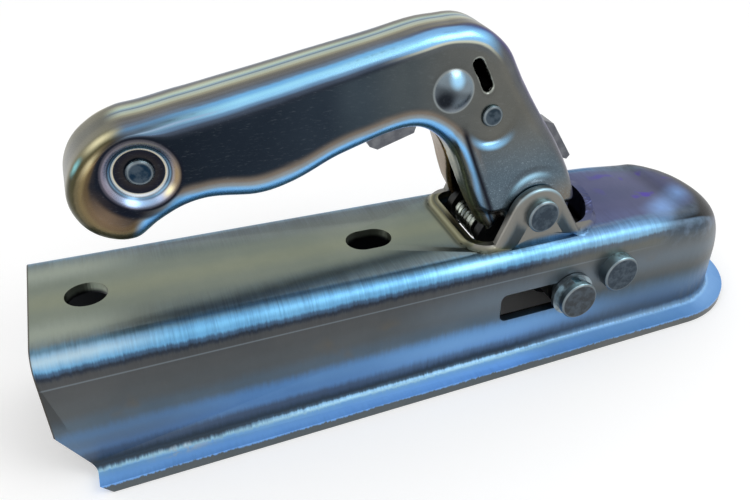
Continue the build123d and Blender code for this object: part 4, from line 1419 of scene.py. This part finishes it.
    def _press(self, obj: bpy.types.Object) -> None:
        """Move the side outline in or out along its normal, dying away towards the cheek's middle.

        Args:
            obj: The lever's mesh object.
        """
        line = self._outline()
        along = np.gradient(line, axis=0)
        along /= np.linalg.norm(along, axis=1)[:, None]
        outward = np.stack((-along[:, 1], along[:, 0]), 1)
        amount = self._amounts(line)
        steps = np.arange(len(line))
        inner, outer = self.recess_reach
        points = points_mm(obj)
        for start in range(0, len(points), self.batch):
            part = points[start:start + self.batch, (0, 2)]
            squares = ((part[:, None, :] - line[None, :, :]) ** 2).sum(axis=2)
            near = squares.argmin(axis=1)
            at = near + np.clip(((part - line[near]) * along[near]).sum(axis=1), -0.5, 0.5)
            normal = np.stack([np.interp(at, steps, outward[:, k]) for k in (0, 1)], 1)
            depth = np.clip(1.0 - np.sqrt(squares.min(axis=1)) / self.cheek_depth, 0.0, 1.0)
            away = np.linalg.norm(part - np.array(self.recess_centre), axis=1)
            outside = np.clip((away - inner) / (outer - inner), 0.0, 1.0)
            push = np.interp(at, steps, amount) * eased(depth) * eased(outside)
            points[start:start + self.batch, 0] += normal[:, 0] * push
            points[start:start + self.batch, 2] += normal[:, 1] * push
        move_points(obj, points)

    def _mark(self, obj: bpy.types.Object) -> None:
        """Store on each point where it lies across the lever's bends.

        Args:
            obj: The lever's mesh object.
        """
        points = points_mm(obj)
        side_view = points[:, (0, 2)]
        end = self._grip_round()
        middle = len(end) // 2
        above = self._nearest(side_view, np.vstack([end[middle:], self._curve(self.crown_points)]))
        below = self._nearest(side_view, np.vstack([self._curve(self.under_points), end[:middle]]))
        within = self.half_width - self.draft * points[:, 2] - np.abs(points[:, 1])
        edge = np.minimum(above, below) - np.maximum(within, 0.0)
        top = np.clip((below - above) / self.edge_fade + 0.5, Side.UNDERSIDE.value, Side.CROWN.value)
        inner = np.minimum(np.minimum(above, below), within)
        away = np.linalg.norm(side_view - np.array(self.recess_centre), axis=1)
        sunk = self.recess_depth * (away < self.recess_reach[0] + self.recess_margin)
        hollow = np.clip((inner - self.hollow_from - sunk) / self.hollow_fade, 0.0, 1.0)
        for name, values in (("edge_span", edge), ("edge_top", top), ("hollow", hollow)):
            attribute = obj.data.attributes.new(name, "FLOAT", "POINT")
            attribute.data.foreach_set("value", values.astype(np.float32))

    def build(self, material: bpy.types.Material) -> bpy.types.Object:
        """Make the lever's soft-edged sheet from its solid.

        Args:
            material: The lever's finish.

        Returns:
            The lever piece.
        """
        piece = merged_copy("lever_shell", "pressed_lever")
        remesh = piece.modifiers.new("even", "REMESH")
        remesh.mode = "VOXEL"
        remesh.voxel_size = self.voxel * MM
        bpy.ops.object.modifier_apply(modifier=remesh.name)
        self._mark(piece)
        self._press(piece)
        smooth = piece.modifiers.new("soften", "SMOOTH")
        smooth.factor, smooth.iterations = self.soften
        bpy.ops.object.modifier_apply(modifier=smooth.name)
        bpy.ops.object.shade_smooth()
        piece.data.materials.clear()
        piece.data.materials.append(material)
        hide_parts("lever_shell")
        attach(piece, "lever")
        return piece


class Dresser:
    """Gives each carried-over solid its finish."""

    def __init__(self, groups: SharedGroups) -> None:
        """Build the small parts' finishes.

        Args:
            groups: The shared node groups.
        """
        finishes = (
            PinFinish("pivot_zinc", (-79.3, 41.8), 6.5, 27.0),
            PinFinish("front_zinc", (-42.3, 11.1), 8.0, 34.15),
            PinFinish("slide_zinc", (-63.3, 4.8), 8.1, 36.35, face="3E4246"),
            PinFinish("grip_zinc", (-212.4, 75.6), 3.9, 12.7, face="182C3E"),
            PinFinish("catch_zinc", (-98.3, 79.6), 3.8, 15.2, face="28343E"),
            SmallPartFinish("zinc_washers", "6E7478", "9AAAB2", 0.28),
            SmallPartFinish("zinc_catch", "5A5C62", "74767A", 0.34),
            SmallPartFinish("inner_steel", "2A2C2E", "3A3A38", 0.4),
            SmallPartFinish("spring_wire", "7C8078", "A8B0A8", 0.22),
        )
        self.materials = {finish.name: finish.build(groups) for finish in finishes}

    def dress(self, finish: str, *names: str) -> None:
        """Put a finish on CAD nodes.

        Args:
            finish: The finish's name.
            names: The nodes.
        """
        for name in names:
            obj = frame["nodes"][name]
            obj.data.materials.clear()
            obj.data.materials.append(self.materials[finish])
            LOG.info("dressed %s in %s", name, finish)

    def build(self) -> None:
        """Dress every node that keeps its CAD solid."""
        self.dress("pivot_zinc", "pivot_rivet")
        self.dress("front_zinc", "front_rivet")
        self.dress("slide_zinc", "slide_pin")
        self.dress("grip_zinc", "grip_rivet")
        self.dress("catch_zinc", "catch_rivet")
        self.dress("zinc_washers", "slide_washers", "slide_collars")
        self.dress("zinc_catch", "safety_catch")
        self.dress("inner_steel", "front_sleeves", "grip_spacer", "catch_spacers", "drive_plate_left",
                   "drive_plate_right", "pivot_sleeve", "spring_post", "slide_sleeves", "thrust_roller", "ball_claw")
        self.dress("spring_wire", "lever_spring", "claw_spring")


def main() -> None:
    """Build the studio and the coupler in order."""
    logging.basicConfig(level=logging.INFO)
    Studio().build()
    groups = SharedGroups()
    Dresser(groups).build()
    for piece in (Housing().build(HousingFinish().build(groups)), Lever().build(LeverFinish().build(groups))):
        LOG.info("built %s", piece.name)
    bpy.context.scene.view_settings.view_transform = "Standard"


if __name__ == "__main__":
    main()
